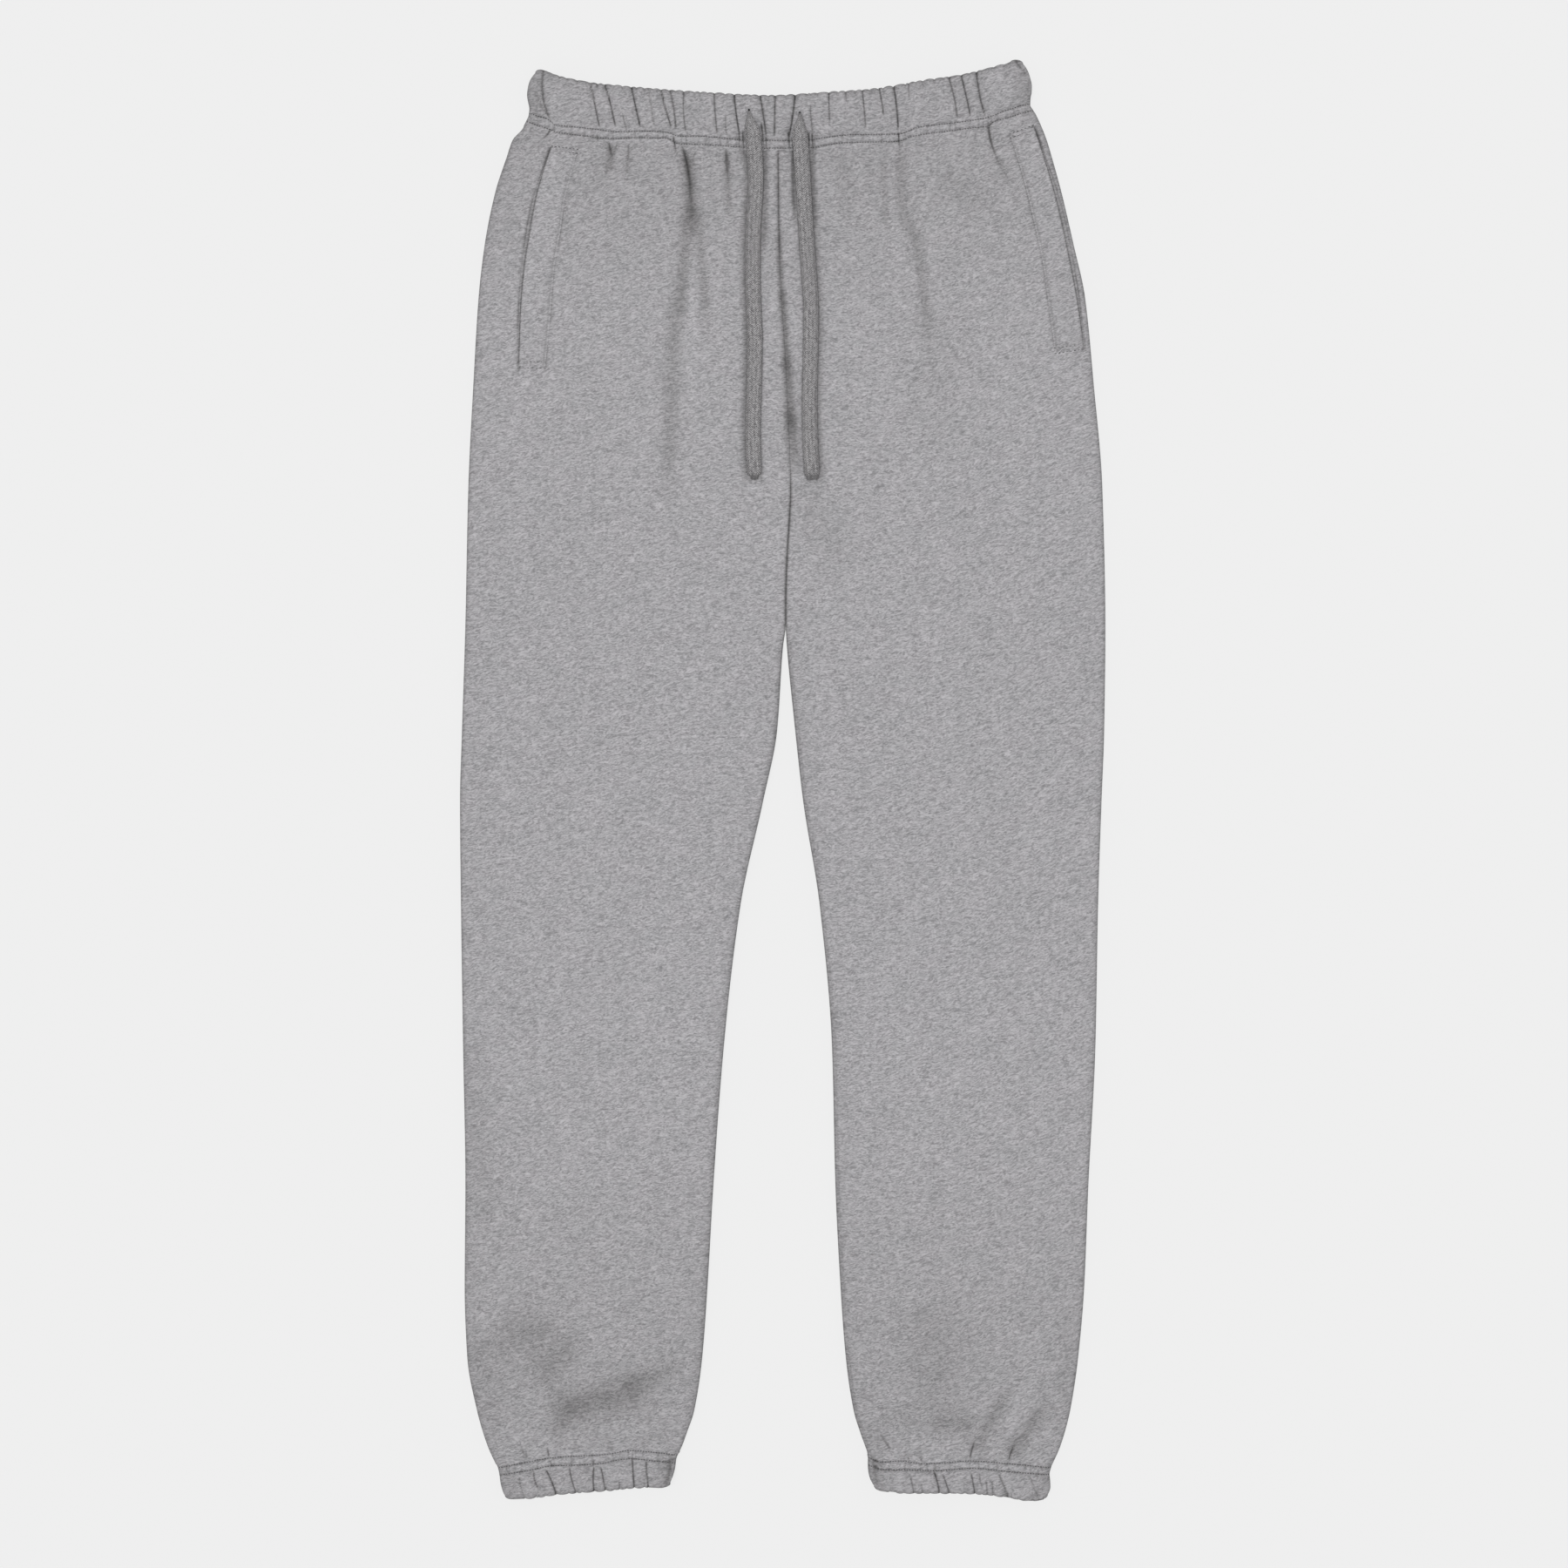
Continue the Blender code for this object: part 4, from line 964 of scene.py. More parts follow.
# %% Pocket lines, from the waist down: the stitched side, then the mouth
WELT_NAMES = ("row", "inner_x", "inner_y", "outer_x", "outer_y")
WELTS = {
    "right": Table(WELT_NAMES, (
        (0, -148.4, 455, -167.4, 457.4), (1, -152.8, 438.5, -173.6, 438.5),
        (2, -157.5, 419.6, -178.6, 419.6), (3, -160.7, 397.5, -182.5, 397.5),
        (4, -165.4, 367.9, -187.1, 367.9), (5, -167.9, 337.7, -189.6, 337.7),
        (6, -171.7, 299.3, -190.8, 299.9))),
    "left": Table(WELT_NAMES, (
        (0, 164.3, 466.2, 181.6, 472.4), (1, 169.8, 449.8, 189, 449.8),
        (2, 175.5, 429.7, 195, 429.7), (3, 181.8, 403.2, 201.6, 403.2), (4, 188, 374.9, 208, 373),
        (5, 192.5, 342.7, 213.6, 342.7), (6, 196.9, 310, 217.6, 313.1))),
}
MOUTH_WIDTH = 2.2
TOPSTITCH_AT = 0.075
# An even painted shade over each welt.
WELT_SHADE = {"right": 0.0, "left": 0.035}
MOUTH_OPENS = Table(("row", "share"), (
    (0, 0.05), (1, 0.3), (2, 0.8), (3, 1), (4, 0.9), (5, 0.5), (6, 0.1)))
WELT_RISE = Table(("across", "height"), (
    (0, 0.12), (0.08, 0.3), (0.3, 0.75), (0.7, 1), (0.9, 1.35), (0.97, 1.2), (1, 0.75)))


def welt_line(side, across, rows):
    """A line down a welt: across 0 is its stitched side and 1 its mouth."""
    table = WELTS[side]
    x = mix(table("inner_x", rows), table("outer_x", rows), across)
    y = mix(table("inner_y", rows), table("outer_y", rows), across)
    return x, y


# %% What the pockets press into the fronts
def pocket_grooves_and_shade(side, x, y):
    """The grooves that a pocket's stitching and mouth press into the front, and the painted shade in
    them.
    """
    sign = SIGN[side]
    rows = np.linspace(0, 6, 61)
    drop, light = np.zeros(x.size), np.ones(x.size)
    flat_x, flat_y = x.ravel(), y.ravel()
    stitched = np.stack(welt_line(side, 0.0, rows), axis=1)
    mouth = np.stack(welt_line(side, 1.0, rows), axis=1)
    beyond = mouth + np.outer(MOUTH_OPENS("share", rows) * (MOUTH_WIDTH + 0.5) + 0.3, (sign, 0))
    for line, depth, width, dark in ((stitched, 0.6, 0.9, 0.24), (mouth, 1.4, 1.0, 0.5),
                                     (beyond, 0.8, 0.7, 0.34)):
        found = around(line, 6, flat_x, flat_y)
        away, _ = near(line, flat_x[found], flat_y[found])
        drop[found] += depth * np.exp(-((away / width) ** 2))
        light[found] *= 1 - dark * np.exp(-((away / (0.9 * width)) ** 2))
    return drop.reshape(x.shape), 1 - light.reshape(x.shape)


# %% Welts and facings
def welt(side):
    rows = np.linspace(0, 6, 121)
    across = np.array([0, 0.02, 0.05, 0.09, 0.15, 0.24, 0.36, 0.5, 0.64, 0.76, 0.85, 0.91, 0.95,
                       0.98, 1.0])
    x, y = welt_line(side, across[None], rows[:, None])
    soft, _ = soft_height(x, y)
    ends = rise(np.minimum(rows, 6 - rows) / 0.16)[:, None]
    rows_dip = np.exp(-(((np.minimum(rows, 6 - rows) - 0.1) / 0.05) ** 2))[:, None]
    lift = WELT_RISE("height", across)[None] * mix(0.3, 1, ends) - 0.12 * rows_dip
    stitch_dip = 0.22 * np.exp(-(((across - TOPSTITCH_AT) / 0.045) ** 2))[None]
    outer = np.stack([x, y, soft + 0.05 + np.maximum(lift - stitch_dip, 0.1)], axis=-1)
    # Painted shade along the topstitching, at the folded edge and at the bar rows.
    stitch_shade = 0.16 * np.exp(-(((across - TOPSTITCH_AT) / 0.04) ** 2))
    edge_shade = 0.3 * np.exp(-(((1 - across) / 0.035) ** 2))
    shade = (stitch_shade + edge_shade)[None] + 0.1 * rows_dip + WELT_SHADE[side]
    shade = np.broadcast_to(shade, x.shape)
    inner = np.stack([x, y, soft - 0.35], axis=-1)
    return shell("welt_" + side, outer, inner, (4, 2), grain_of(x, y), shade)


def facing(side):
    """The sliver of facing in the open mouth, widest half way down."""
    sign = SIGN[side]
    rows = np.linspace(0.35, 5.65, 91)
    across = np.linspace(0, 1, 7)
    x, y = welt_line(side, 1.0, rows[:, None])
    width = MOUTH_OPENS("share", rows)[:, None] * MOUTH_WIDTH
    x = x + sign * (0.15 + width * across[None])
    y = np.broadcast_to(y, x.shape)
    soft, _ = soft_height(x, y)
    outer = np.stack([x, y, soft + 0.1 + 0.35 * np.sin(math.pi * across)[None]], axis=-1)
    # Painted shadow of the welt, darkest beside the mouth.
    shade = np.broadcast_to(mix(0.42, 0.16, across)[None], x.shape)
    inner = np.stack([x, y, soft - 0.4], axis=-1)
    return shell("facing_" + side, outer, inner, (3, 2), grain_of(x, y), shade)


# %% Make the fronts and their pockets
fronts = {side: front_panel(side) for side in SIGN}
welts = {side: welt(side) for side in SIGN}
facings = {side: facing(side) for side in SIGN}

# %% [markdown]
# ## Back panels
#
# The backs lie on the floor, flat where they rest, and turn up at the sides to meet the fronts.
# Nothing of them was photographed, so they are finished plainly: the centre seam, the inseams, and
# soft shallow folds like those of the front, which only lift the cloth off the floor a little.

# %% Both backs
BACK_SHARES = np.linspace(0, 1, 62)[1:-1]
BACK_SEAM_SHIFT, BACK_WAVE = 0.8, 11
# Painted shade along the back's seam; the back folds also paint shade in their troughs.
BACK_SEAM_LIFT, BACK_SEAM_SHADE = 0.8, 0.3
BACK_GRAIN = (700, 0)
BACK_ROW_GAPS = Table(("down", "gap"), (
    (0, 1.6), (30, 3), (120, 6), (880, 6), (920, 3), (940, 1.6)))
BACK_FOLDS = folds((
    (0.9, 0.1, 4, -120, 463, -118, 445, -115, 418), (0.7, 0.1, 4.5, -88, 460, -90, 438, -93, 405),
    (0.9, 0.1, 4, -48, 457, -50, 438, -54, 402), (0.6, 0.1, 3.6, -22, 456, -21, 440, -20, 416),
    (0.8, 0.1, 4.2, 26, 457, 28, 436, 31, 406), (0.9, 0.1, 4, 62, 460, 64, 440, 69, 400),
    (0.7, 0.1, 4.4, 104, 465, 106, 446, 110, 414), (0.8, 0.1, 4.2, 140, 471, 141, 450, 144, 424),
    (0.8, 0.1, 16, -150, 120, -118, 80, -70, 60), (0.8, 0.1, 16, 62, 70, 110, 84, 150, 120),
    (0.7, 0.1, 14, -190, -390, -150, -410, -110, -404),
    (0.7, 0.1, 14, 96, -400, 140, -414, 180, -398),
))


# %% One back
def back_panel(side):
    length = WAIST_STATION - CUFF_STATION
    rows = WAIST_STATION - paced(0, length, lambda at: BACK_ROW_GAPS("gap", at))
    # The back's centre seam lies beside the front's, so that no light comes up between them
    x, y, from_inner, from_outer, roundness = panel_frame(side, rows, BACK_SHARES, BACK_SEAM_SHIFT)
    lift, shade = press(x, y, BACK_FOLDS, soft_section, 0.3, 0.45, FOLD_REACH)
    lift = lift + np.maximum(0, wave(x, y, BACK_WAVE, 0.8))
    seam = BACK_SEAM_LIFT * np.exp(-from_inner / SEAM_WIDTH) * (1 - roundness)
    seam_line = np.exp(-((from_inner / 0.9) ** 2)) * (1 - roundness)
    shade = darker(shade, BACK_SEAM_SHADE * seam_line)
    upper = EDGE_RADIUS - MEETING_GAP
    bend = arch(from_outer) * mix(1, arch(from_inner), roundness)
    outer = np.stack([x, y, mix(upper, lift + seam, bend)], axis=-1)
    under_x = turned_in(side, x, from_inner, from_outer, roundness)
    inner = np.stack([under_x, y, mix(upper, WALL + 0.4 * lift, bend)], axis=-1)
    return shell("back_" + side, outer, inner, BACK_THINNING, grain_of(-x, y) + BACK_GRAIN, shade)


# %% Make the backs
backs = {side: back_panel(side) for side in SIGN}

# %% [markdown]
# ## Gathered casings
#
# Waist and ankles end in casings: the cloth is folded over wide elastic and sewn down with two
# rows. Laid flat, a casing is a soft tube pressed into a loop, puffed between its pleats, with a
# scalloped free edge where each pleat turns over the fold. It is built as one ring of points that
# starts at the seam, goes up the outside, rolls over the free edge and comes back down the inside.

# %% Sections of the casings
CASING_RADIUS = 6.4
CASING_WALL = 4.6
FREE_EDGE_LIFT = 1.3
FREE_EDGE_START = 0.85
# Painted shade towards a casing's free edge, in the dips of its scallops, and on its hidden inside.
FREE_EDGE_SHADE, DIP_SHADE, CASING_INNER_SHADE = 0.12, 0.3, 0.25
FRONT_GAPS, BACK_GAPS = (0.42, 0.95), (0.6, 2.2)
EDGE_SAMPLES, INSIDE_ROWS = 3000, 7
PUFFS, PUFF_LENGTHS, PUFF_HEIGHT = 10, (9, 26), 0.09
SIDE_TURNS = np.radians(np.linspace(0, 180, 15)[1:-1])
ROLL_TURNS = np.radians(np.linspace(0, 180, 10)[1:-1])
CUFF_PROFILE = Table(("share", "height"), (
    (0, 8.4), (0.08, 8.6), (0.18, 9.2), (0.29, 9.5), (0.5, 11.2), (0.84, 11.4), (1, 10.4)))
# Each casing's shade is an even painted shade over its face above the stitching.
CASINGS = {
    "waist_casing": dict(
        edges=WAIST_EDGES, sides=WAIST_SIDES, gathers=WAIST_GATHERS, rows=WAIST_ROWS, seed=3,
        profile=Table(("share", "height"), (
            (0, 8.6), (0.06, 8.9), (0.13, 9.7), (0.2, 10.1), (0.36, 12.1), (0.6, 13), (0.88, 12.6),
            (1, 11.6))),
        shade=0.055, scallop=6.6, back_gap=15, low_rows=0.3),
}
for side, seed in (("right", 4), ("left", 6)):
    CASINGS["cuff_casing_" + side] = dict(
        edges=CUFF_EDGES[side], sides=CUFF_SIDES[side], gathers=CUFF_GATHERS[side],
        rows=CUFF_ROWS[side], seed=seed, profile=CUFF_PROFILE, shade=0.08, scallop=6.2,
        back_gap=14, low_rows=0.4)


# %% Scallops along a free edge
def scallops(edge_x, starts, seed, spacing):
    """How far the free edge stands out between pleats: rounded puffs that meet in small dips."""
    chance = np.random.default_rng(seed)
    low, high = edge_x.min() + 5, edge_x.max() - 5
    dips = sorted([low, high, *[s for s in starts if low < s < high]])
    filled = [dips[0]]
    for dip in dips[1:]:
        while dip - filled[-1] > 1.5 * spacing:
            filled.append(filled[-1] + spacing * chance.uniform(0.5, 1.4))
        filled.append(dip)
    filled = np.array(filled)
    sizes = chance.uniform(0.5, 1.25, len(filled))
    place = np.clip(np.searchsorted(filled, edge_x) - 1, 0, len(filled) - 2)
    width = filled[place + 1] - filled[place]
    share = np.clip((edge_x - filled[place]) / width, 0, 1)
    puff = np.minimum(0.22 * width, 1.5) * sizes[place]
    return puff * (np.sin(math.pi * share) ** 0.7 - 0.6), puff * (1 - np.sin(math.pi * share) ** 0.5)


# %% A casing's upper face
def share_up(parts, x, y):
    """How far up a casing a place is, from 0 at its seam to 1 at its free edge."""
    seam, free = parts["edges"]("seam_y", x), parts["edges"]("free_y", x)
    return (y - seam) / (free - seam)


def end_fade(inset):
    """How fully a casing has its pleats and puffs, at a distance in from its rounded ends."""
    return rise((inset - 0.5) / 5)


def casing_height(parts, x, y):
    """The height of a casing's upper face at (x, y), and its painted shade."""
    share = share_up(parts, x, y)
    drop, shade = crisp_drop(x, y)
    groove, groove_shade = grooves(x, y, parts["rows"])
    soft = wave(x, y, FRONT_WAVE) * SEAM_CALM
    soft = soft + soft_puffs(x, y, parts["seed"]) * rise((share - 0.3) / 0.3)
    height = parts["profile"]("height", share) + soft
    # Painted shade over the band above the rows, and more towards the free edge.
    painted_band_shade = parts["shade"] * rise((share - 0.17) / 0.08)
    painted_band_shade = painted_band_shade + FREE_EDGE_SHADE * rise((share - 0.9) / 0.1)
    return height - drop - groove, darker(shade, groove_shade, painted_band_shade)


def soft_puffs(x, y, seed):
    """Small uneven swellings between the pleats."""
    chance = np.random.default_rng(seed + 20)
    total = np.zeros(np.broadcast(x, y).shape)
    for _ in range(PUFFS):
        turn = 2 * math.pi / chance.uniform(*PUFF_LENGTHS)
        place = turn * (x + chance.uniform(-0.35, 0.35) * y)
        total += PUFF_HEIGHT * np.sin(place + chance.uniform(0, 6.3))
    return total


# %% One casing
def make_casing(name):
    parts = CASINGS[name]
    edges, sides, profile = parts["edges"], parts["sides"], parts["profile"]
    out = 1 if name == "waist_casing" else -1
    # Columns crowd at the pleats, and lean with them from the seam to the free edge
    (left, end_left), (right, end_right) = (
        sides(column, np.array([0.0, 1.0])) + inward * CASING_RADIUS
        for column, inward in (("left_x", 1), ("right_x", -1)))
    lean = [(0.0, 0.0), (1.0, 1.0)]
    ups = np.array([[g.path[0], g.path[4]] if out > 0 else [g.path[4], g.path[0]]
                    for g in parts["gathers"] if g.width < 1])
    for free_x, seam_x in ups:
        lean.append(((seam_x - left) / (right - left), (free_x - end_left) / (end_right - end_left)))
    lean = Table(("seam", "free"), [pair for pair in lean if 0 <= pair[0] <= 1])
    width = right - left
    spots = np.array([row for row in lean.at if 0 < row < 1])

    def gap(at):
        return mix(*FRONT_GAPS, rise((abs(spots - at).min() * width - 1.6) / 4)) / width

    upper = paced(0, 1, gap)
    back_gathers = back_pleats(parts, left, right)
    back_spots = np.array([(pleat.path[0] - left) / width for pleat in back_gathers])
    lower = paced(0, 1, lambda at: mix(
        *BACK_GAPS, rise((abs(back_spots - at).min() * width - 2) / 5)) / width)[::-1]
    # Rows crowd at the stitching and at the free edge
    length = abs(edges("free_y", (left + right) / 2) - edges("seam_y", (left + right) / 2))
    roll = CASING_WALL / 2 / length
    shares = paced(0, 1 - roll, lambda at: mix(
        mix(0.68, 1.6, rise((at - parts["low_rows"]) / 0.1)), 0.8, rise((at - 0.8) / 0.1)) / length)
    edge_at = np.linspace(end_left, end_right, EDGE_SAMPLES)
    free_front, dip_front = scallops(edge_at, ups[:, 0], parts["seed"], parts["scallop"])
    free_back, dip_back = scallops(edge_at, [pleat.path[1] for pleat in back_gathers],
                                   parts["seed"] + 1, parts["scallop"])

    def row_of(share, outside):
        row_left, row_right = sides("left_x", share), sides("right_x", share)
        flat_left, flat_right = row_left + CASING_RADIUS, row_right - CASING_RADIUS
        x_up = mix(flat_left, flat_right, mix(upper, lean("free", upper), share))
        x_down = mix(flat_left, flat_right, lower)
        side_wall = 0.0 if outside else mix(WALL, CASING_WALL, share)
        radius = CASING_RADIUS - side_wall
        x_right = flat_right + radius * np.sin(SIDE_TURNS)
        x_left = flat_left - radius * np.sin(SIDE_TURNS[::-1])
        x = np.concatenate([x_up, x_right, x_down, x_left])
        seam, free = edges("seam_y", x), edges("free_y", x)
        face = np.concatenate([np.ones(len(x_up)), np.cos(SIDE_TURNS), -np.ones(len(x_down)),
                               -np.cos(SIDE_TURNS)])
        puffed = np.where(face > 0, np.interp(x, edge_at, free_front, 0, 0),
                          np.interp(x, edge_at, free_back, 0, 0))
        dipped = np.where(face > 0, np.interp(x, edge_at, dip_front, 0, 0),
                          np.interp(x, edge_at, dip_back, 0, 0))
        y = mix(seam, free, share) + out * puffed * share**5
        shade = np.full(len(x), CASING_INNER_SHADE)
        if not outside:
            top = mix(profile("height", 0.0) - WALL, 2 * CASING_RADIUS - CASING_WALL, share)
            bottom = mix(WALL, CASING_WALL, share)
            z = mix(bottom, top, (face + 1) / 2)
        else:
            inset = np.minimum(x - row_left, row_right - x)
            fade = end_fade(inset)
            height, front_shade = casing_height(parts, x, y)
            plain = profile("height", share)
            top = mix(plain, height, fade) - 0.6 * dipped * share**6
            bottom = FREE_EDGE_LIFT * rise((share - FREE_EDGE_START) / (1 - FREE_EDGE_START))
            back_lift, back_shade = back_relief(parts, back_gathers, x, y, share)
            bottom = np.maximum(bottom + back_lift * fade + 0.4 * dipped * share**6, 0)
            z = mix(bottom, top, (face + 1) / 2)
            # Painted shade at the casing's ends, in its scallops' dips and at its rounded sides.
            end = END_SHADE * (1 - rise((inset - END_WIDTH / 2) / (END_WIDTH / 2)))
            shade = darker(np.where(face > 0, front_shade, back_shade) * fade,
                           DIP_SHADE * np.minimum(dipped, 1) * share**10, rim_shade(inset), end)
        return np.stack([x, y, z], axis=-1), shade

    outside = [row_of(share, True) for share in shares]
    inside = [row_of(share, False) for share in np.linspace(1 - roll, 0, INSIDE_ROWS)]
    (edge, edge_shade), (back_edge, _) = outside[-1], inside[0]
    rolled = []
    tip = np.abs(edges("free_y", edge[:, 0]) - edges("seam_y", edge[:, 0])) * roll
    # The roll over the free edge gets painted shade, most half way round.
    for turn in ROLL_TURNS:
        points = (edge + back_edge) / 2 + (edge - back_edge) / 2 * math.cos(turn)
        points[:, 1] += out * tip * math.sin(turn)
        rolled.append((points, edge_shade * (0.5 + 0.5 * math.cos(turn)) + 0.3 * math.sin(turn)))
    rows = outside + rolled + inside
    grid = np.stack([points for points, _ in rows])
    shade = np.stack([values for _, values in rows])
    grain = grain_of(grid[..., 0], grid[..., 1])
    grain[:, len(upper) + len(SIDE_TURNS) // 2:-len(SIDE_TURNS) // 2] *= (-1, 1)
    return ring(name, grid, grain, shade)


# %% The hidden back of a casing
def back_pleats(parts, left, right):
    """Pleats of a casing's hidden back, unevenly spaced, each with its x at seam and free edge."""
    chance = np.random.default_rng(parts["seed"] + 40)
    found, x = [], left + 9.0
    while x < right - 8:
        found.append(Crease(chance.uniform(0.5, 1.3), 0.9, (x, x + chance.uniform(-4, 4))))
        x += parts["back_gap"] * chance.uniform(0.6, 1.4)
    return found


def back_relief(parts, pleats, x, y, share):
    """How far the back's pleats and sewn rows lift it off the floor, and their painted shade."""
    lift, shade = grooves(x, y, parts["rows"])
    fade = rise((share - 0.12) / 0.15)
    for pleat in pleats:
        drop, pleat_shade = sharp_section(abs(x - mix(*pleat.path, share)) / pleat.width, pleat)
        lift, shade = lift + drop * fade, darker(shade, pleat_shade * fade)
    return lift, shade


# %% Waistband and cuffs
casings = {name: make_casing(name) for name in CASINGS}

# %% [markdown]
# ## Finishes
#
# Each finish is a node tree, but written as sums. A small class stands for one value in the tree,
# and adding or multiplying two of them adds the Math node that does it. Any other node comes from
# one function that takes its type, its settings and its inputs.


# %% A material as a page of sums
def add_node(tree, kind, settings, inputs):
    """A node of a kind, its settings first, then its inputs as values or links."""
    made = tree.nodes.new(kind)
    for name, value in settings.items():
        setattr(made, name, value)
    for name, value in inputs.items():
        value = getattr(value, "socket", value)
        if isinstance(value, bpy.types.NodeSocket):
            tree.links.new(value, made.inputs[name])
        else:
            made.inputs[name].default_value = value
    return made


class Value:
    """One value in a material, on which arithmetic adds Math nodes."""

    def __init__(self, finish, socket):
        self.finish, self.socket = finish, socket

    def sum(self, operation, *others):
        inputs = dict(enumerate((self, *others)))
        return self.finish.node("ShaderNodeMath", {"operation": operation}, inputs)

    def __add__(self, other):
        return self.sum("ADD", other)

    __radd__ = __add__

    def __mul__(self, other):
        return self.sum("MULTIPLY", other)

    __rmul__ = __mul__

    def __sub__(self, other):
        return self.sum("SUBTRACT", other)

    def __rsub__(self, other):
        return (self * -1) + other

    def to(self, low, high):
        """This value mapped from low..high to 0..1, smoothly."""
        settings = {"interpolation_type": "SMOOTHSTEP"}
        inputs = {"Value": self, "From Min": low, "From Max": high}
        return self.finish.node("ShaderNodeMapRange", settings, inputs)


# %% A material and its nodes
class Finish:
    """A material and its nodes, with one Principled shader that is set at the end."""

    def __init__(self, name, constants):
        self.material = bpy.data.materials.new(name)
        self.material.use_nodes = True
        self.tree = self.material.node_tree
        self.shader = self.tree.nodes["Principled BSDF"]
        for socket, value in constants.items():
            self.shader.inputs[socket].default_value = value

    def node(self, kind, settings, inputs, output=0):
        return Value(self, add_node(self.tree, kind, settings, inputs).outputs[output])

    def grain(self):
        """The grain map, which each cloth piece and cord carries."""
        return self.node("ShaderNodeUVMap", {"uv_map": "grain"}, {})

    def shade(self):
        """The painted shade that is stored at each point of a piece."""
        return self.node("ShaderNodeAttribute", {"attribute_name": "shade"}, {}, 2)

    def noise(self, place, scale, detail=2.0, roughness=0.5):
        inputs = {"Vector": place, "Scale": scale, "Detail": detail, "Roughness": roughness}
        return self.node("ShaderNodeTexNoise", {}, inputs)

    def stretched(self, place, across, along, shift=0.0):
        """A place with its two axes scaled, which draws a pattern out into strokes."""
        return self.node("ShaderNodeMapping", {}, {
            "Vector": place, "Scale": (1 / across, 1 / along, 1), "Location": (shift, shift, 0)})

    def blend(self, share, low, high, how="MIX"):
        """A colour between two by a share, or the two mixed in another way."""
        settings = {"data_type": "RGBA", "blend_type": how}
        return self.node("ShaderNodeMix", settings, {0: share, 6: low, 7: high}, 2)

    def bump(self, height, distance, strength):
        inputs = {"Height": height, "Distance": distance * MM, "Strength": strength}
        return self.node("ShaderNodeBump", {}, inputs)

    def set(self, socket, value):
        self.tree.links.new(value.socket, self.shader.inputs[socket])


# %% [markdown]
# ## Marl fleece
#
# Seen close, marl is a mass of short strokes a few millimetres long and one or two wide, pale on
# mid grey, with finer fibres over them and slow drifts of warmer and cooler grey. Noise on a grain
# map that is squeezed one way makes the strokes. Two sizes of it are mixed so that they don't look
# combed. Brushed fleece is matt, so it has no highlight to speak of, and a fine bump gives its nap.

# %% Fleece
STROKE, SHORT_STROKE, FIBRE = 1.15, 0.85, 1.3
DARK_FIBRE = (0.205, 0.200, 0.208, 1)
PALE_FIBRE = (0.580, 0.568, 0.588, 1)
COOL_DRIFT = (0.368, 0.370, 0.380, 1)
WARM_DRIFT = (0.377, 0.362, 0.378, 1)
FLEECE_TONE, PATCH_TONE = 0.965, 0.17
# The strokes' size along and across in mm, and how far their pattern is shifted on the map
STROKE_SIZE, SHORT_STROKE_SIZE, FIBRE_SIZE = (6.0, 1.6), (3.7, 0.82, 7.3), (1.9, 0.62, 3.1)
PATCH_SIZE, NAP_SIZE = (22, 13, 1.7), (1.1, 0.7)


def fleece_finish():
    finish = Finish("marl_fleece", {
        "Metallic": 0.0, "IOR": 1.45, "Specular IOR Level": 0.12, "Sheen Weight": 0.08,
        "Sheen Roughness": 0.6})
    place = finish.grain()
    drift = finish.node("ShaderNodeVectorMath", {"operation": "SCALE"}, {
        0: finish.node("ShaderNodeTexNoise", {}, {"Vector": place, "Scale": 0.12, "Detail": 2.0}, 1),
        "Scale": 5.0})
    bent = finish.node("ShaderNodeVectorMath", {"operation": "ADD"}, {0: place, 1: drift})
    strokes = finish.noise(finish.stretched(bent, *STROKE_SIZE), 1.0, 2.0, 0.6)
    short = finish.noise(finish.stretched(bent, *SHORT_STROKE_SIZE), 1.0, 2.0, 0.6)
    fibres = finish.noise(finish.stretched(bent, *FIBRE_SIZE), 1.0, 1.0, 0.5)
    marl = (strokes - 0.5) * STROKE + (short - 0.5) * SHORT_STROKE + (fibres - 0.5) * FIBRE + 0.5
    patches = finish.noise(finish.stretched(bent, *PATCH_SIZE), 1.0, 2.0, 0.5)
    fibre = finish.blend(marl.to(0.0, 1.0), DARK_FIBRE, PALE_FIBRE)
    tint = finish.blend(patches.to(0.36, 0.64), COOL_DRIFT, WARM_DRIFT)
    cloth = finish.blend(0.25, fibre, tint)
    # The stored painted shade darkens the fleece, and takes a little more blue than red out of it,
    # so deep shade reads warmer.
    shade = finish.shade()
    light = (1 - shade) * ((patches - 0.5) * PATCH_TONE + FLEECE_TONE)
    grey = finish.node("ShaderNodeCombineColor", {}, {
        0: light, 1: light * (1 - shade * 0.01), 2: light * (1 - shade * 0.04)})
    finish.set("Base Color", finish.blend(1.0, cloth, grey, "MULTIPLY"))
    finish.set("Roughness", 0.94 - marl * 0.1)
    nap = finish.noise(finish.stretched(place, *NAP_SIZE), 1.0, 3.0, 0.65)
    finish.set("Normal", finish.bump(nap * 0.5 + strokes * 0.5, 0.4, 0.5))
    return finish.material


fleece = fleece_finish()
print("nodes of the fleece:", len(fleece.node_tree.nodes))

# %% [markdown]
# ## Knitted braid and sewing thread
#
# The cord is a flat braid: strands cross it in slanting rows that turn back on themselves every
# few millimetres, which reads as a herringbone. A wave along the cord, pushed sideways by a zigzag
# across it, makes the slant. The dark thread of the sewn rows is painted shadow: it stands for the
# shadowed needle holes along each row.

# %% Braid
BRAID_DARK = (0.092, 0.088, 0.091, 1)
BRAID_PALE = (0.500, 0.489, 0.496, 1)
STRAND_PITCH = 1.6
BRAID_BAND = 2.75
WANDER, STRAND_SHARE, RIB_SHARE, SPECK_SHARE, FLECK_SHARE = 1.0, 0.4, 0.12, 1.6, 0.6


